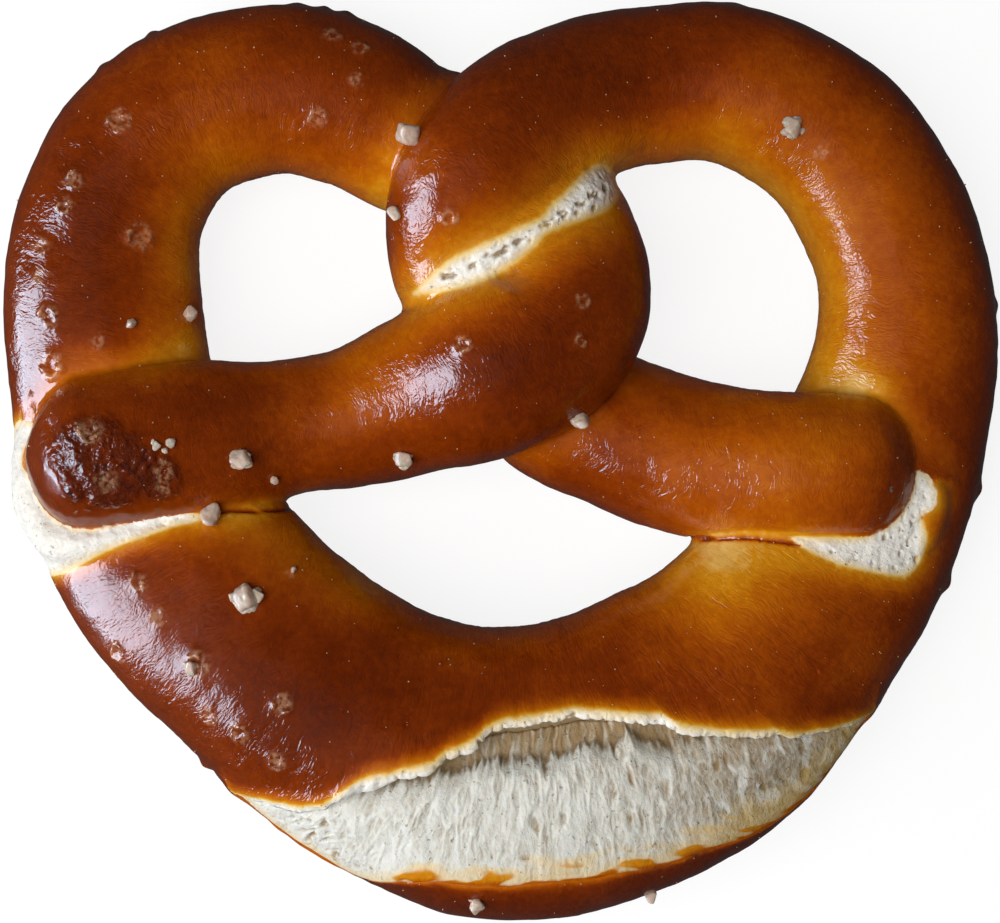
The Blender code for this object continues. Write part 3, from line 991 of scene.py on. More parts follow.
def steady_share(skin):
    """1 on one rope, down to 0 along the line where the mesh passes from one to another."""
    start, end = skin.edges.T
    crossing = np.zeros(len(skin.run))
    crossing[skin.edges[np.abs(skin.run[start] - skin.run[end]) > JUMP].ravel()] = 1.0
    return 1 - smoothstep(0.0, 0.25, evened(crossing, skin.edges, STEADYING))


def dusty_share(points):
    """How much ash or flour sticks to the burnt tip."""
    share = np.zeros(len(points))
    for x, y, radius in DUSTY:
        away = layered(points, [(0.5, 1.1, 54)], plan_distance(points, x, y) / radius)
        share = np.maximum(share, smoothstep(1.0, 0.4, away))
    return 0.6 * share * (points[:, 2] > 15)


def raise_skin(mesh, skin, relief):
    """Moves the skin out by the relief, but never off or below the tray."""
    moved = skin.points + skin.normals * relief[:, None]
    moved[:, 2] = np.where(skin.points[:, 2] < 0.01, 0.0, np.maximum(moved[:, 2], 0.02))
    mesh.vertices.foreach_set("co", (moved * MM).ravel())


def shape_crust(mesh, dough, split):
    """Gives the skin its relief, and stores what its material needs."""
    skin = read_skin(mesh)
    points = skin.points
    torn = np.maximum(skin.seam_inside, skin.split_inside)
    crumbly = smoothstep(-0.2, 0.6, torn)
    near_split = skin.split_inside > -SPLIT_FEATHER
    on_tray = smoothstep(LOW_SKIN, 0.0, points[:, 2])
    burnt, slit = burnt_share(points), slit_share(points)
    blisters, salt = blister_relief(points)
    pores, pits = pore_relief(points, dough.pores / MM)

    relief = lump_relief(skin, dough.lumps / MM)
    relief += crag_relief(points, burnt, dough.crags / MM)
    relief += crumbly * pores
    relief += bump_relief(points) + blisters
    relief -= SLIT_DEPTH * slit
    on_rim = smoothstep(-0.1, 0.4, skin.split_inside)
    relief += layered(points, RIM_FLUFF) * on_rim * smoothstep(3.5, 2.0, skin.depth)
    relief += split.lift / MM * bell(skin.below, LIP_REACH) * near_split
    raise_skin(mesh, skin, relief * (1 - on_tray))

    bake = bake_level(skin)
    # Painted shade, stored as deep: the crumb darkens down the split's cut walls, down its pits and along
    # the twist's crack, and over the left seam.
    hollow = smoothstep(1.0, 4.0, skin.depth) * near_split
    shaded = 0.24 * smoothstep(-52, -64, points[:, 0]) * (skin.seam_inside > -2)  # painted shade over the left seam's crumb
    # The slits are painted darker, as shade.
    give(mesh, bake=bake + (SLIT_SHADE_BAKE - bake) * 0.8 * slit, torn=torn,
         deep=np.maximum(hollow, 0.8 * pits * crumbly) + shaded, burnt=burnt,
         salty=np.maximum(salt, dusty_share(points)), matte=np.maximum(on_tray, spotted(points, DUSKY)),
         steady=steady_share(skin), place=flat_points(skin.run, ROUND * skin.turn, skin.depth))
    mesh.update()


def fine_zones(mesh):
    """The points round which the skin needs a finer mesh: tears, blisters and the burnt tip."""
    skin = read_skin(mesh)
    on_rim = (np.abs(skin.below - 0.4) < 1.4) & (skin.depth < 2.5) & (skin.above > 0)
    marks = ((slit_share(skin.points), 0.02), (burnt_share(skin.points), 0.05),
             (blister_relief(skin.points)[1], 0.05), (skin.seam_inside, -0.8), (on_rim, 0))
    return np.any([mark > least for mark, least in marks], axis=0)


# ---------------------------------------------------------------- the split's crumb

CRUMB_STEP = 0.17  # of its mesh, along the rope
CRUMB_ROWS = 84  # across the split
CRUMB_TRIM = 0.3  # by which it stops short of the split's ends
CRUMB_THICK = 1.5  # of the slab of crumb that fills the split
CRUMB_TUCK = 1.2  # how far it reaches under the crust on both sides
CRUMB_SUNK = 0.8  # how much deeper it lies there
CRUMB_TOP = 1.2  # depth of its fibres under the pretzel's full form
CRUMB_FLOOR = 0.9  # height of its deepest place above the split's floor
PIT_DEPTH = 0.8  # of the pits near the split's left end
RIGHT_SHADE_FROM, RIGHT_SHADE_TO = 306, 330  # along the rope, where the crumb turns smoother and gets painted shade, as on a side turned away from the light
FRINGE_FROM, FRINGE_TO = 279, 286  # where the browned fringe sets in
PLACE_MIDDLE = 300  # of the split, along the rope

# Layers of noise on the crumb's sheet, whose sizes are those across and along the strands.
HOLLOW_WAVE = [(0.4, 2.2, 71)]
STRAND_ENDS = [(1.9, 1.1, 75), (1.3, 0.5, 76)]
SWAY = [(0.8, (4.0, 7.0, 1), 70), (0.35, (1.4, 3.0, 1), 69)]
FOLDS = [(0.8, (5.0, 12.0, 1), 74), (1.0, (1.7, 4.0, 1), 82)]
FRAYS = [(0.2, (0.45, 0.9, 1), 77)]
GULLIES = [(1, (1.1, 8.0, 1), 79)]
# Along the rope, how far the browned skin reaches up over the crumb from the lower edge.
FRINGE = [
    (264, 0.2), (280, 0.3), (284, 0.5), (287, 1.4), (291, 1.6), (293, 2.4), (296, 1.0), (300, 1.4),
    (304, 1.8), (308, 1.0), (312, 1.4), (315, 0.9), (318, 1.2), (321, 2.2), (325, 2.0), (330, 0.8),
    (344, 0.3),
]
# Along the rope, how far below the lip the hollow reaches.
HOLLOW = [
    (264, 0.0), (272, 0.4), (275, 2.0), (279, 4.6), (282, 3.0), (286, 3.6), (292, 4.4), (298, 5.4),
    (304, 5.8), (307, 5.6), (309, 4.6), (313, 5.4), (314.5, 3.8), (316, 2.2), (318, 4.2), (321, 6.0),
    (323.5, 3.0), (328, 1.5), (333, 0.7), (338, 0.0),
]


def web(plane, size, seed):
    """Strewn cells, from 0 at the walls between them to about 1 in their middles."""
    scaled = plane / np.asarray(size, float)
    cells = np.floor(scaled).astype(np.int64)
    nearest = np.full((2, len(plane)), 9.0)
    for step in product((-1, 0, 1), repeat=2):
        beside = cells + (*step, 0)
        middle = beside[:, :2] + 0.5 + 0.45 * cell_directions(beside, seed)[:, :2]
        away = np.hypot(*(scaled[:, :2] - middle).T)
        nearest = np.sort(np.vstack([nearest, away]), axis=0)[:2]
    return nearest[1] - nearest[0]


def crumb_plane(run, turn, below):
    """Places on the crumb's sheet: the strands lie along its second axis."""
    across = ROPE.points(run, turn)[:, 0]
    plane = flat_points(0.6 * across + 0.4 * (run - PLACE_MIDDLE), below)
    return plane + flat_points(layered(plane, SWAY), 0 * run)


def crumb_web(plane):
    """The stretched cells: their broad walls, their fine walls, and the holes, each from 0 to 1."""
    wide, close = web(plane, (1.9, 7.5, 1), 72), web(plane, (0.72, 3.8, 1), 73)
    holes = smoothstep(0.3, 0.55, wide) * smoothstep(0.2, 0.5, noise(plane, (2.0, 5.0, 1), 78))
    return smoothstep(0.35, 0.05, wide), smoothstep(0.34, 0.04, close), holes


def crumb_level(run, plane, below, width, floor):
    """The crumb's depth before its relief, and where it has risen from the hollow as white strands."""
    hollow = layered(flat_points(run), HOLLOW_WAVE, read_table(HOLLOW, run))
    ends = layered(flat_points(plane[:, 0]), STRAND_ENDS)
    white = smoothstep(-0.7, 0.8, below - (hollow + smoothstep(0.2, 2.5, hollow) * ends))
    rise = smoothstep(-1.8, 4.0, below - hollow)
    level = floor + (CRUMB_TOP - floor) * np.clip(0.76 * rise + 0.24 * white, 0, 1)
    edge = smoothstep(0.0, 8.0, width - below)
    return level * smoothstep(0.0, 7.0, width) * (0.1 + 0.9 * edge), white, edge


def crumb_relief(plane, white, cells):
    """Strands and cells: the white ones stand up, and the hollow has gullies."""
    broad_wall, wall, holes = cells
    stringy = 0.4 + 0.6 * smoothstep(-0.35, 0.45, noise(plane, (4.5, 7.0, 1), 88))
    strands = white * stringy * (0.4 * wall + 0.6 * broad_wall - 1.8 * holes)
    relief = layered(plane, FRAYS, layered(plane, FOLDS) + strands)
    return relief + (1 - white) * 0.6 * ridged(plane, GULLIES)


def crumb_shade(plane, white, tan, cells):
    """How much painted shade the crumb gets: least on the strands and their walls, more in the holes and on
    the right part, which is turned from the light, and most in the hollow.
    """
    broad_wall, wall, holes = cells
    patches = smoothstep(-0.5, 0.4, noise(plane, (3.0, 6.0, 1), 84) + 0.6 * tan)
    tufts = smoothstep(0.1, 0.45, noise(plane, (1.2, 6.0, 1), 85))
    streaks = smoothstep(-0.2, 0.6, noise(plane, (0.7, 9.0, 1), 87))
    shade = 0.06 + 0.34 * (1 - 0.5 * tan) * (1 - wall) * patches + 0.5 * holes
    shade = shade - 0.10 * broad_wall + tan * (0.50 - 0.5 * tufts)
    dark = 0.92 - 0.40 * streaks
    return dark + (shade - dark) * white


def crumb_form(run, plane, below, width, split):
    """Depth of the crumb's surface under the pretzel's full form, and how shaded it is: a hollow beside
    the lip, out of which white strands rise, and a web of stretched cells that sinks at the lower edge."""
    level, white, edge = crumb_level(run, plane, below, width, split.floor / MM - CRUMB_FLOOR)
    cells = crumb_web(plane)
    tan = smoothstep(RIGHT_SHADE_FROM, RIGHT_SHADE_TO, run)
    relief = split.fibres / MM * crumb_relief(plane, white, cells)
    relief = relief * (0.15 + 0.85 * edge) * smoothstep(0.0, 5.0, width) * (1 - 0.4 * tan)
    pitted = bell(run - 275, 4.0) * bell(width - below - 6.0, 3.5)
    pitted = pitted * smoothstep(0.0, 0.5, noise(plane, 1.2, 86))
    shade = crumb_shade(plane, white, tan, cells)
    return level - relief + PIT_DEPTH * pitted, np.clip(shade + 0.7 * pitted, 0, 1)


Slab = namedtuple("Slab", "run plane below width depth shade")


def crumb_slab(split):
    """The crumb as a closed slab: its mesh, and what is known of each of its upper points."""
    run = np.arange(SPLIT_START + CRUMB_TRIM, SPLIT_END - CRUMB_TRIM, CRUMB_STEP)
    share = np.linspace(0, 1, CRUMB_ROWS)
    lip, _, arc, width = split_size(run)
    width = np.maximum(width, 0.05)
    tuck = CRUMB_TUCK * smoothstep(0.0, 5.0, width)
    below = -tuck[:, None] + share * (width + 2 * tuck)[:, None]
    turn = lip[:, None] - below / arc[:, None]
    run, width = (np.repeat(column[:, None], CRUMB_ROWS, axis=1) for column in (run, width))
    plane = crumb_plane(run.ravel(), turn.ravel(), below.ravel())
    form = crumb_form(run.ravel(), plane, below.ravel(), width.ravel(), split)
    depth, shade = (values.reshape(below.shape) for values in form)
    depth = depth + CRUMB_SUNK * smoothstep(0.0, 1.0, np.maximum(-below, below - width) / CRUMB_TUCK)
    lower = depth + CRUMB_THICK * smoothstep(0.0, 4.0, width) + 0.05
    sides = [ROPE.points(run, turn, deep) for deep in (depth, lower)]
    return slab_mesh("belly_crumb", *sides), Slab(run, plane, below, width, depth, shade)


def slab_mesh(name, top, bottom):
    """A closed mesh from two like grids of points."""
    upper = np.arange(top.shape[0] * top.shape[1]).reshape(top.shape[:2])
    lower = upper + upper.size
    border = np.concatenate([upper[0, :-1], upper[:-1, -1], upper[-1, :0:-1], upper[:0:-1, 0]])
    after = np.roll(border, -1)
    wall = np.stack([border, border + upper.size, after + upper.size, after], axis=1)
    faces = np.concatenate([quads(upper)[:, ::-1], quads(lower), wall])
    return closed_mesh(name, np.concatenate([top.reshape(-1, 3), bottom.reshape(-1, 3)]), faces.tolist())


def store_crumb(mesh, slab):
    """Stores what the crumb's material needs, the browned fringe at its lower edge among it."""
    def both(grid):
        return np.tile(grid.ravel(), 2)  # for the slab's upper points and its lower ones

    above = slab.width - slab.below
    blotch = noise(flat_points(slab.run.ravel(), slab.below.ravel()), (4.2, 2.2, 1), 81).reshape(above.shape)
    reach = 0.4 + (read_table(FRINGE, slab.run) + 1.0) * smoothstep(-0.25, 0.40, blotch)
    fringe = above - 0.2 - (reach - 0.2) * smoothstep(FRINGE_FROM, FRINGE_TO, slab.run)
    fringe = np.where(fringe > 0, fringe * (1 - 0.6 * smoothstep(RIGHT_SHADE_FROM, RIGHT_SHADE_TO, slab.run)), fringe)
    bake = 0.30 + 0.24 * smoothstep(1.4, 0.0, above) - 0.10 * smoothstep(0.1, -0.3, blotch)
    place = flat_points(both(slab.plane[:, 0]), both(slab.plane[:, 1]), both(slab.depth))
    # deep carries the crumb's painted shade.
    give(mesh, torn=both(np.minimum(fringe, 8.0)), bake=both(bake), deep=both(slab.shade),
         steady=both(np.ones(above.shape)), place=place)


# ---------------------------------------------------------------- salt

# Whole grains: x, y, size, and how many crystals they are made of.
GRAINS = [
    (-12.4, 46.5, 3.8, 1), (-15.0, 35.9, 3.0, 2), (43.3, 48.9, 4.0, 8), (-46.9, 21.6, 2.4, 1),
    (-38.3, 0.0, 4.4, 9), (-14.3, 0.3, 3.8, 7), (11.1, 5.9, 2.7, 1), (-42.8, -9.1, 3.2, 1),
    (-36.9, -20.7, 5.0, 11), (-3.4, -65.0, 3.2, 2), (-54.6, 20.0, 1.6, 1), (22.3, -65.3, 2.4, 2),
    (20.6, 37.8, 1.2, 1), (-30.4, -16.5, 1.0, 1), (-44.8, -30.6, 2.8, 4), (-33.7, -3.1, 1.1, 1),
]
FLAKES = [(-47.9, 2.2, 1.7), (-49.8, 1.6, 1.4), (-48.6, 1.1, 1.0), (-50.2, 2.3, 0.8)]
STREWN = 600  # fine grains, of which about seven in ten land on the crust
CRYSTAL_SIDES = 9  # of a crystal besides the six of its box
CRYSTAL_BOX = 0.88  # half the side of that box
CRYSTAL_CUT = (0.78, 1.02)  # how near its middle the other sides may lie
CRYSTAL_THIN = (0.78, 1.0)  # its size along each axis, against the grain's
CRYSTAL_WEAR = 8  # the more, the sharper its edges
CRYSTAL_DENTS = 0.10
CLUMP_FLAT, FLAKE_FLAT = 0.75, 0.35  # height of their crystals against their width
CLUMP_MAIN = 0.72  # size of a clump's biggest crystal, as a share of the clump
CLUMP_REST = (0.22, 0.42)  # the same of the others
CLUMP_REACH = (0.24, 0.37)  # how far from its middle the others sit, as a share of its size
CLUMP_TURN = 2.4  # from one of them to the next, in radians
CLUMP_DROP = -0.12  # how much lower they sit, against that distance
SALT_SEED = 12
STREWN_HALF = (73, 68)  # half sides of the ground that the fine salt falls on
FINE_SIZE = (0.12, 0.26)
BALL_DETAIL = {"salt_grains": 4, "salt_flakes": 3, "fine_salt": 2}


def ball(detail):
    """Directions and triangles of a ball."""
    form = bmesh.new()
    bmesh.ops.create_icosphere(form, subdivisions=detail, radius=1.0)
    directions = np.array([vert.co for vert in form.verts])
    triangles = np.array([[vert.index for vert in face.verts] for face in form.faces])
    form.free()
    return directions, triangles


def crystal(directions, size, flat, chance):
    """Points of one worn crystal: a ball pressed against flat sides, whose edges stay a little round."""
    sides = chance.normal(size=(CRYSTAL_SIDES, 3))
    sides /= np.linalg.norm(sides, axis=1)[:, None]
    sides /= chance.uniform(*CRYSTAL_CUT, (CRYSTAL_SIDES, 1))
    sides = np.concatenate([sides, CRYSTAL_BOX * np.eye(3), -CRYSTAL_BOX * np.eye(3)])
    press = np.maximum(directions @ sides.T, 0) ** CRYSTAL_WEAR
    shape = directions / np.sum(press, axis=1)[:, None] ** (1 / CRYSTAL_WEAR)
    shape *= 1 + CRYSTAL_DENTS * noise(directions + chance.uniform(0, 50, 3), 0.5, 91)[:, None]
    shape *= size / 2 * chance.uniform(*CRYSTAL_THIN, 3) * (1, 1, flat)
    spin = np.linalg.qr(chance.normal(size=(3, 3)))[0]
    if flat != 1.0:
        turn = chance.uniform(0, 2 * math.pi)
        ahead, aside = math.cos(turn), math.sin(turn)
        spin = np.array([(ahead, -aside, 0), (aside, ahead, 0), (0, 0, 1)])
    return shape @ spin.T


def skin_below(tree, x, y):
    """The skin's point and normal under a place in plan, in millimetres."""
    hit, normal, _, _ = tree.ray_cast(Vector((x, y, 60)) * MM, Vector((0, 0, -1)))
    return (np.array(hit) / MM, np.array(normal)) if hit else (None, None)


def salt_mesh(name, plan, chance, sink):
    """Crystals set on the skin, as one mesh."""
    tree = BVHTree.FromObject(bpy.data.objects["crust"], bpy.context.evaluated_depsgraph_get())
    directions, triangles = ball(BALL_DETAIL[name])
    points, faces = [], []
    for x, y, size, count, flat in plan:
        hit, normal = skin_below(tree, x, y)
        if hit is None:
            continue
        for k in range(count):
            if k == 0:
                share = 1.0 if count == 1 else CLUMP_MAIN
            else:
                share = chance.uniform(*CLUMP_REST)
            turn = CLUMP_TURN * k + chance.uniform(-0.4, 0.4)
            reach = (k > 0) * chance.uniform(*CLUMP_REACH) * size
            offset = reach * np.array((math.cos(turn), math.sin(turn), CLUMP_DROP))
            middle = hit + normal * size * share * flat * (0.5 - sink) + offset
            faces.append(triangles + len(points) * len(directions))
            points.append(middle + crystal(directions, size * share, flat, chance))
    mesh = bpy.data.meshes.new(name)
    mesh.from_pydata((np.concatenate(points) * MM).tolist(), [], np.concatenate(faces).tolist())
    return mesh


# ---------------------------------------------------------------- finishes

class Value:
    """A number that varies over a surface: a node's output, which Python's operators work on."""

    def __init__(self, tree, socket):
        self.tree = tree
        self.socket = socket

    def math(self, operation, *terms):
        node = self.tree.nodes.new("ShaderNodeMath")
        node.operation = operation
        for socket, term in zip(node.inputs, terms):
            plug(self.tree, socket, term)
        return Value(self.tree, node.outputs[0])

    def __add__(self, other):
        return self.math("ADD", self, other)

    def __sub__(self, other):
        return self.math("SUBTRACT", self, other)

    def __mul__(self, other):
        return self.math("MULTIPLY", self, other)

    def __radd__(self, other):
        return self.math("ADD", other, self)

    def __rsub__(self, other):
        return self.math("SUBTRACT", other, self)

    def __rmul__(self, other):
        return self.math("MULTIPLY", other, self)

    def at_least(self, other):
        return self.math("MAXIMUM", self, other)

    def size(self):
        return self.math("ABSOLUTE", self)

    def between(self, low, high):
        """0 below low, 1 above high, and smooth between them."""
        node = self.tree.nodes.new("ShaderNodeMapRange")
        node.interpolation_type = "SMOOTHSTEP"
        for name, term in (("Value", self), ("From Min", low), ("From Max", high)):
            plug(self.tree, node.inputs[name], term)
        return Value(self.tree, node.outputs["Result"])


def plug(tree, socket, term):
    """Links a value or a node's output to a socket, or sets the socket to a plain number or colour."""
    if isinstance(term, (Value, bpy.types.NodeSocket)):
        tree.links.new(getattr(term, "socket", term), socket)
    elif hasattr(term, "__len__") and socket.type == "RGBA":
        socket.default_value = (*list(term)[:3], 1.0)
    else:
        socket.default_value = term


class Finish:
    """One material. Every node but the maths comes from node()."""

    def __init__(self, name, **same_all_over):
        self.material = bpy.data.materials.new(name)
        self.material.use_nodes = True
        self.tree = self.material.node_tree
        self.shader = self.tree.nodes["Principled BSDF"]
        for socket, value in same_all_over.items():
            plug(self.tree, self.shader.inputs[socket.replace("_", " ")], value)

    def node(self, kind, settings=None, sockets=None, output=0):
        """One output of a new node, whose settings are made before its sockets are filled."""
        made = self.tree.nodes.new(kind)
        for name, value in (settings or {}).items():
            if name == "stops":
                self.set_stops(made.color_ramp, value)
            else:
                setattr(made, name, value)
        for name, term in (sockets or {}).items():
            plug(self.tree, made.inputs[name], term)
        return made.outputs[output]

    @staticmethod
    def set_stops(ramp, stops):
        while len(ramp.elements) < len(stops):
            ramp.elements.new(0.5)
        for element, (place, colour) in zip(ramp.elements, stops):
            element.position = place
            element.color = (*list(colour)[:3], 1.0)

    def stored(self, name):
        """A number stored at the mesh's points."""
        settings = {"attribute_type": "GEOMETRY", "attribute_name": name}
        return Value(self.tree, self.node("ShaderNodeAttribute", settings, output="Fac"))

    def stored_vector(self, name):
        settings = {"attribute_type": "GEOMETRY", "attribute_name": name}
        return self.node("ShaderNodeAttribute", settings, output="Vector")

    def place(self):
        return self.node("ShaderNodeTexCoord", output="Object")

    def stretched(self, vector, factors):
        return self.node("ShaderNodeVectorMath", {"operation": "MULTIPLY"}, {0: vector, 1: factors})

    def bent(self, vector, scale, reach):
        """The vector, swayed by slow noise, so that what follows it wavers."""
        sockets = {"Vector": vector, "Scale": scale, "Detail": 1.0}
        sway = self.node("ShaderNodeTexNoise", sockets=sockets, output="Color")
        terms = {0: sway, 1: reach, 2: vector}
        return self.node("ShaderNodeVectorMath", {"operation": "MULTIPLY_ADD"}, terms)

    def noise(self, vector, scale, detail=2.0, roughness=0.5):
        """Noise from -1 to 1."""
        sockets = {"Vector": vector, "Scale": scale, "Detail": detail, "Roughness": roughness}
        return 2.0 * Value(self.tree, self.node("ShaderNodeTexNoise", sockets=sockets)) - 1.0

    def walls(self, vector, scale):
        """1 at the walls between strewn cells, 0 in the cells."""
        settings, sockets = {"feature": "DISTANCE_TO_EDGE"}, {"Vector": vector, "Scale": scale}
        edge = Value(self.tree, self.node("ShaderNodeTexVoronoi", settings, sockets, "Distance"))
        return edge.between(0.22, 0.02)

    def ramp(self, factor, stops):
        return self.node("ShaderNodeValToRGB", {"stops": stops}, {"Fac": factor}, "Color")

    def mix(self, factor, first, second):
        sockets = {0: factor, 6: first, 7: second}
        return self.node("ShaderNodeMix", {"data_type": "RGBA"}, sockets, 2)

    def feed(self, name, term):
        plug(self.tree, self.shader.inputs[name], term)

    def relief(self, height):
        """A bump whose height is in metres."""
        sockets = {"Height": height, "Distance": 1.0, "Strength": 1.0}
        self.feed("Normal", self.node("ShaderNodeBump", sockets=sockets))


GLOSS, DULL = 0.14, 0.9  # roughness of the crust and of the crumb
GLOSS_WAVER = 0.05
RESIDUE_COVER = 0.42  # how much the film of salt hides
CREAM_REACH = 1.2  # inside a torn seam, how far its crumb still looks creamy
FRINGE_REACH = 4.0  # the same inside the belly's split
# How light strays through the stringy crumb.
CRUMB_GLOW = {"Subsurface_Weight": 0.5, "Subsurface_Scale": 0.0008, "Subsurface_Radius": (1.0, 0.8, 0.6)}
# Heights of the bumps, in metres.
FLUFF_BUMP, WISP_BUMP, PIT_BUMP, CHAR_BUMP, GRAIN_BUMP = 0.00009, 0.00002, 0.00016, 0.00011, 0.00004


def crust_colour(skin, colours, place, along, wrinkled, scorch):
    """Browned dough: mottled, flecked between the wrinkles, with a film of salt in places."""
    mottle = 0.06 * skin.noise(place, 260.0, 3.0) + 0.08 * skin.noise(place, 900.0, 2.0)
    flecks = wrinkled * skin.noise(skin.stretched(along, (0.6, 1.7, 1.0)), 1.7, 2.0).between(0.30, 0.55)
    level = skin.stored("bake") + mottle - 0.10 * flecks + skin.stored("burnt") * (0.20 - 0.10 * scorch)
    crust = skin.ramp(level, [
        (0.0, colours.cream), (0.14, colours.straw), (0.28, colours.golden), (0.42, colours.amber),
        (0.56, colours.russet), (0.70, colours.chestnut), (0.84, colours.mahogany), (1.0, colours.char),
    ])
    residue = skin.stored("salty") * skin.noise(place, 1300.0, 2.0).between(-0.35, 0.25)
    return skin.mix(RESIDUE_COVER * residue, crust, colours.dust)


def crust_relief(skin, place, along, wrinkled):
    """Fine wrinkles that waver across the rope, and the skin's grain."""
    swayed = skin.bent(along, 0.25, (3.0, 1.5, 0.0))
    creases = 1.0 - 2.0 * skin.noise(skin.stretched(swayed, (1.0, 0.30, 1.0)), 0.95, 2.0).size()
    crinkles = 1.0 - 2.0 * skin.noise(skin.stretched(swayed, (1.0, 0.5, 1.0)), 2.1, 1.0).size()
    return wrinkled * (creases + 0.5 * crinkles) + 0.12 * skin.noise(place, 2600.0, 2.0)


def crumb_wisps(skin, along, stringy):
    """The finest threads of the crumb: the walls of long cells, or streaks."""
    if stringy:
        long_cells = skin.bent(skin.stretched(along, (1.0, 0.20, 0.3)), 1.5, (0.3, 0.2, 0.0))
        return 0.4 - 0.8 * skin.walls(long_cells, 2.2)
    return skin.noise(skin.stretched(along, (2.6, 0.5, 1.0)), 1.6, 3.0, 0.6)


def dough_finish(name, colours, wrinkle_height, stringy=False):
    """Crust and crumb in one finish: what the mesh stores says where each shows, how browned it is and how
    much painted shade the crumb gets.
    """
    skin = Finish(name, IOR=1.45, Specular_IOR_Level=0.5, **(CRUMB_GLOW if stringy else {}))
    place, along = skin.place(), skin.stored_vector("place")
    torn, deep, matte = (skin.stored(stored) for stored in ("torn", "deep", "matte"))

    wrinkled = skin.stored("steady") * (0.0 - torn).between(0.0, 1.2)
    scorch = 1.0 - 2.5 * skin.noise(place, 700.0, 3.0, 0.6).size()
    crust = crust_colour(skin, colours, place, along, wrinkled, scorch)

    ragged = torn + 0.45 * skin.noise(place, 900.0, 3.0)
    crumb_share = ragged.between(-0.6, 0.5) if stringy else ragged.between(-0.12, 0.22)
    fluff = skin.noise(place, 1500.0, 3.0, 0.6)
    wisps = crumb_wisps(skin, along, stringy)
    pits = skin.noise(place, 1250.0, 2.0).between(0.30, 0.55)
    # Painted shade: deep, the fluff and the wisps darken the crumb towards the hollow colour, and the pits
    # towards the pit colour.
    shade = (deep + 0.16 * fluff + 0.16 * wisps).between(0.0, 1.0)
    crumb = skin.mix(shade, colours.sheet if stringy else colours.crumb, colours.hollow)
    crumb = skin.mix(0.45 * pits, crumb, colours.pit)
    paling = ragged.between(FRINGE_REACH if stringy else CREAM_REACH, 0.1)
    crumb = skin.mix(0.55 * paling, crumb, colours.straw)
    skin.feed("Base Color", skin.mix(crumb_share, crust, crumb))

    dull = crumb_share.at_least(matte).at_least(0.6 * skin.stored("bake").between(0.28, 0.10))
    gloss = GLOSS + GLOSS_WAVER * skin.noise(place, 150.0, 2.0)
    skin.feed("Roughness", gloss + dull * (DULL - gloss))

    crust_bump = crust_relief(skin, place, along, wrinkled) * wrinkle_height * (1.0 - dull)
    crumb_bump = (FLUFF_BUMP * fluff - WISP_BUMP * wisps - PIT_BUMP * pits) * crumb_share
    skin.relief(crust_bump + crumb_bump + CHAR_BUMP * scorch * skin.stored("burnt"))
    return skin.material


def salt_finish(name, colour):
    """Cloudy crystals that let a little light through."""
    salt = Finish(name, IOR=1.54, Subsurface_Weight=0.4, Subsurface_Scale=0.001, Transmission_Weight=0.25)
    place = salt.place()
    cloud = salt.noise(place, 700.0, 3.0)
    warm = [0.80 * c for c in colour]
    salt.feed("Base Color", salt.mix(cloud.between(-0.4, 0.5), warm, colour))
    salt.feed("Roughness", 0.38 + 0.12 * salt.noise(place, 1500.0))
    salt.relief(GRAIN_BUMP * salt.noise(place, 1800.0, 3.0))
    return salt.material


# ---------------------------------------------------------------- operators

FLOOR_SHARE = 0.16  # of the floor's colour that the lights bring out; the rest is its glow
FLOOR_HALF = 3.0
CAMERA_SHIFT = -0.0005
SENSOR = 36.0  # width of the camera's sensor, in millimetres
COOL, COLD, SOFT, SKY = (0.84, 0.91, 1.0), (0.68, 0.82, 1.0), (1.0, 0.97, 0.93), (0.95, 0.97, 1.0)
# Each lamp: the setting of its power, its place and size in metres, its colour, and which rays of the
# renderer it is left out of. The window has one lamp for its light and one for its shine.
LAMPS = [
    ("side", "window", (-0.67, -0.27, 0.22), (0.44, 0.50), COOL, "visible_glossy"),
    ("window", "glint", (-0.71, -0.14, 0.14), (0.44, 0.62), COLD, "visible_diffuse"),
    ("ceiling", "ceiling", (-0.50, -0.22, 1.20), (1.1, 1.1), SOFT, "visible_glossy"),
    ("bounce", "bounce", (0.0, 0.0, -0.60), (1.6, 1.6), SOFT, "visible_glossy"),
]


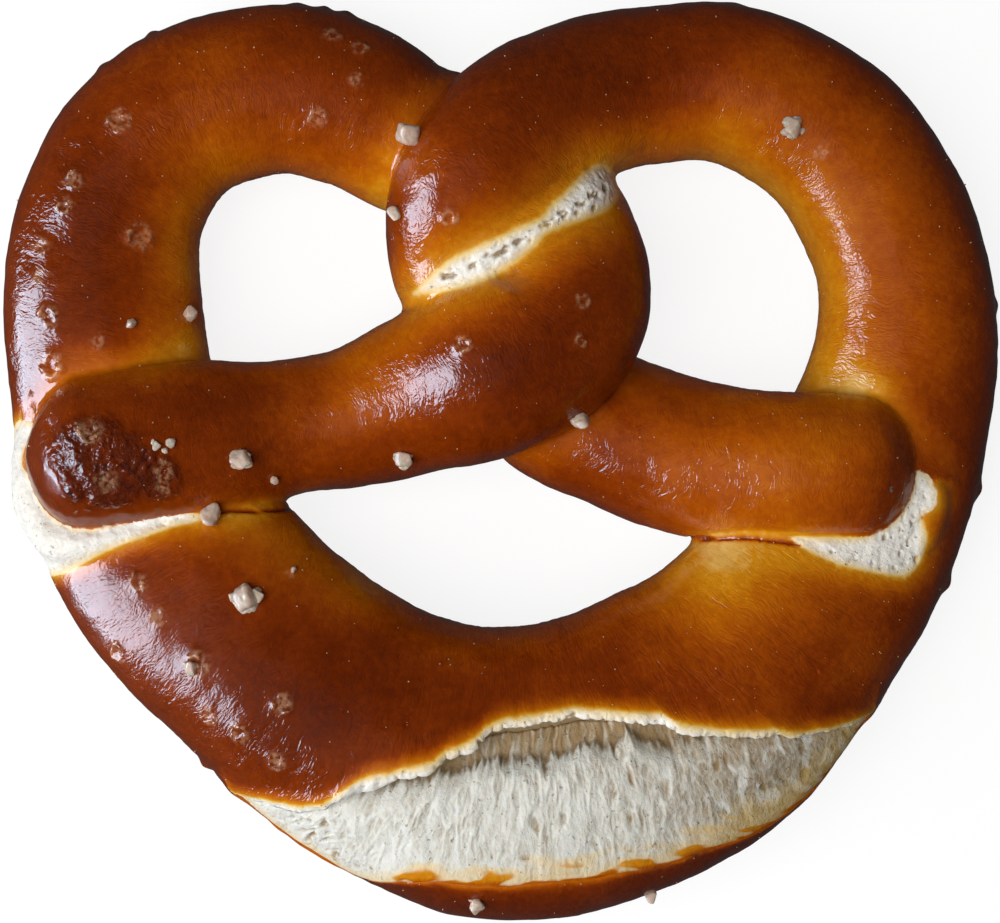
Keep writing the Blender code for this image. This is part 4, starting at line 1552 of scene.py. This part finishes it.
class PRETZEL_OT_stage(Operator):
    """Make the floor, the lights and the camera"""

    bl_idname = "pretzel.stage"
    bl_label = "Stage"

    def execute(self, context):
        stage = context.scene.pretzel_stage
        self.floor(stage)
        self.camera(stage)
        for name, power, place, size, colour, left_out in LAMPS:
            holder = self.light(name, place, size, getattr(stage, power), colour)
            setattr(holder, left_out, False)
        context.scene.world = self.room(stage)
        context.scene.view_settings.view_transform = "Standard"
        return {"FINISHED"}

    @staticmethod
    def room(stage):
        """Surroundings that are dim above and brighter below, as beside a white table."""
        world = bpy.data.worlds.new("room")
        world.use_nodes = True
        tree = world.node_tree
        direction = tree.nodes.new("ShaderNodeTexCoord")
        parts = tree.nodes.new("ShaderNodeSeparateXYZ")
        bright = tree.nodes.new("ShaderNodeMapRange")
        plug(tree, parts.inputs[0], direction.outputs["Generated"])
        for name, term in (("Value", parts.outputs["Z"]), ("From Min", 0.0), ("From Max", -0.2),
                           ("To Min", stage.ambient), ("To Max", stage.under)):
            plug(tree, bright.inputs[name], term)
        background = tree.nodes["Background"]
        plug(tree, background.inputs["Color"], SKY)
        plug(tree, background.inputs["Strength"], bright.outputs["Result"])
        return world

    @staticmethod
    def floor(stage):
        """A floor and a far dome, both plain and pale, which only the camera sees."""
        paint = Finish("floor_paint", Roughness=0.8, Emission_Strength=stage.glow)
        paint.feed("Base Color", [FLOOR_SHARE * c for c in stage.floor])
        paint.feed("Emission Color", stage.floor)
        bpy.ops.mesh.primitive_plane_add(size=2 * FLOOR_HALF)
        floor = bpy.context.object
        bpy.ops.mesh.primitive_uv_sphere_add(segments=48, ring_count=24, radius=FLOOR_HALF)
        dome = bpy.context.object
        dome.data.shade_smooth()
        for thing, name in ((floor, "floor"), (dome, "backdrop")):
            thing.name = name
            thing.data.materials.append(paint.material)
            for rays in ("visible_glossy", "visible_diffuse", "visible_shadow"):
                setattr(thing, rays, False)

    @staticmethod
    def camera(stage):
        """A camera that looks straight down."""
        camera = bpy.data.cameras.new("camera")
        camera.lens = stage.lens
        camera.sensor_width = SENSOR
        holder = add_object("camera", camera)
        holder.location = (0.0, CAMERA_SHIFT, stage.height)
        bpy.context.scene.camera = holder

    @staticmethod
    def light(name, place, size, power, colour):
        """A soft lamp that faces the pretzel and isn't seen itself."""
        lamp = bpy.data.lights.new(name, "AREA")
        lamp.shape = "RECTANGLE"
        lamp.size, lamp.size_y = size
        lamp.energy = power
        lamp.color = colour
        holder = add_object(name, lamp)
        holder.location = place
        holder.rotation_euler = Vector(place).to_track_quat("Z", "Y").to_euler()
        holder.visible_camera = False
        return holder


class PRETZEL_OT_crust(Operator):
    """Make the browned skin, with its relief and the torn seams"""

    bl_idname = "pretzel.crust"
    bl_label = "Crust"

    def execute(self, context):
        scene = context.scene
        dough, split = scene.pretzel_dough, scene.pretzel_split
        crust = fused_dough(dough.grain)
        cut_away(crust, tray_block(), add_object("split_cutter", split_cutter(split)))
        refine(crust.data, fine_zones(crust.data))
        shape_crust(crust.data, dough, split)
        triangles = sum(len(face.vertices) - 2 for face in crust.data.polygons)
        add_modifier(crust, "DECIMATE", ratio=min(1.0, dough.triangles / triangles))
        bake_modifiers(crust)
        finish_piece(crust, dough_finish("pretzel_crust", scene.pretzel_colours, dough.wrinkles))
        return {"FINISHED"}


class PRETZEL_OT_crumb(Operator):
    """Make the fibrous crumb inside the belly's split"""

    bl_idname = "pretzel.crumb"
    bl_label = "Crumb"

    def execute(self, context):
        scene = context.scene
        mesh, slab = crumb_slab(scene.pretzel_split)
        store_crumb(mesh, slab)
        wrinkles = scene.pretzel_dough.wrinkles
        finish = dough_finish("pretzel_crumb", scene.pretzel_colours, wrinkles, stringy=True)
        finish_piece(add_object("belly_crumb", mesh), finish)
        return {"FINISHED"}


class PRETZEL_OT_salt(Operator):
    """Strew the salt grains, their flakes and the fine salt"""

    bl_idname = "pretzel.salt"
    bl_label = "Salt"

    def execute(self, context):
        chance = np.random.default_rng(SALT_SEED)
        grains = [(*grain, 1.0 if grain[3] == 1 else CLUMP_FLAT) for grain in GRAINS]
        flakes = [(*flake, 1, FLAKE_FLAT) for flake in FLAKES]
        corner = np.array(STREWN_HALF)
        places = chance.uniform(-corner, corner, (STREWN, 2))
        dust = [(x, y, chance.uniform(*FINE_SIZE), 1, 1.0) for x, y in places]
        colours = context.scene.pretzel_colours
        coarse, fine = salt_finish("salt", colours.salt), salt_finish("fine_salt", colours.dust)
        kinds = (("salt_grains", grains, 0.15, coarse), ("salt_flakes", flakes, 0.0, coarse),
                 ("fine_salt", dust, 0.2, fine))
        for name, plan, sink, finish in kinds:
            finish_piece(add_object(name, salt_mesh(name, plan, chance, sink)), finish)
        return {"FINISHED"}


class PRETZEL_PT_sidebar(Panel):
    """The pretzel's sizes and colours, and what makes each piece"""

    bl_label = "Soft Pretzel"
    bl_idname = "PRETZEL_PT_sidebar"
    bl_space_type = "VIEW_3D"
    bl_region_type = "UI"
    bl_category = "Pretzel"

    def draw(self, context):
        layout = self.layout
        for name in SETTINGS:
            settings = getattr(context.scene, name)
            for prop in settings.bl_rna.properties:
                if prop.identifier not in ("rna_type", "name"):
                    layout.prop(settings, prop.identifier)
        for operator in OPERATORS:
            layout.operator(operator.bl_idname)


SETTINGS = {
    "pretzel_dough": PretzelDough,
    "pretzel_split": PretzelSplit,
    "pretzel_colours": PretzelColours,
    "pretzel_stage": PretzelStage,
}
OPERATORS = [PRETZEL_OT_stage, PRETZEL_OT_crust, PRETZEL_OT_crumb, PRETZEL_OT_salt]


def register():
    """Adds the settings, operators and panel to the program."""
    for name, group in SETTINGS.items():
        bpy.utils.register_class(group)
        setattr(bpy.types.Scene, name, PointerProperty(type=group))
    for kind in (*OPERATORS, PRETZEL_PT_sidebar):
        bpy.utils.register_class(kind)


def unregister():
    """Takes them off again."""
    for kind in (PRETZEL_PT_sidebar, *OPERATORS[::-1]):
        bpy.utils.unregister_class(kind)
    for name, group in SETTINGS.items():
        delattr(bpy.types.Scene, name)
        bpy.utils.unregister_class(group)


def main():
    """Makes the stage and every piece."""
    register()
    for operator in OPERATORS:
        family, name = operator.bl_idname.split(".")
        getattr(getattr(bpy.ops, family), name)()


if __name__ == "__main__":
    main()
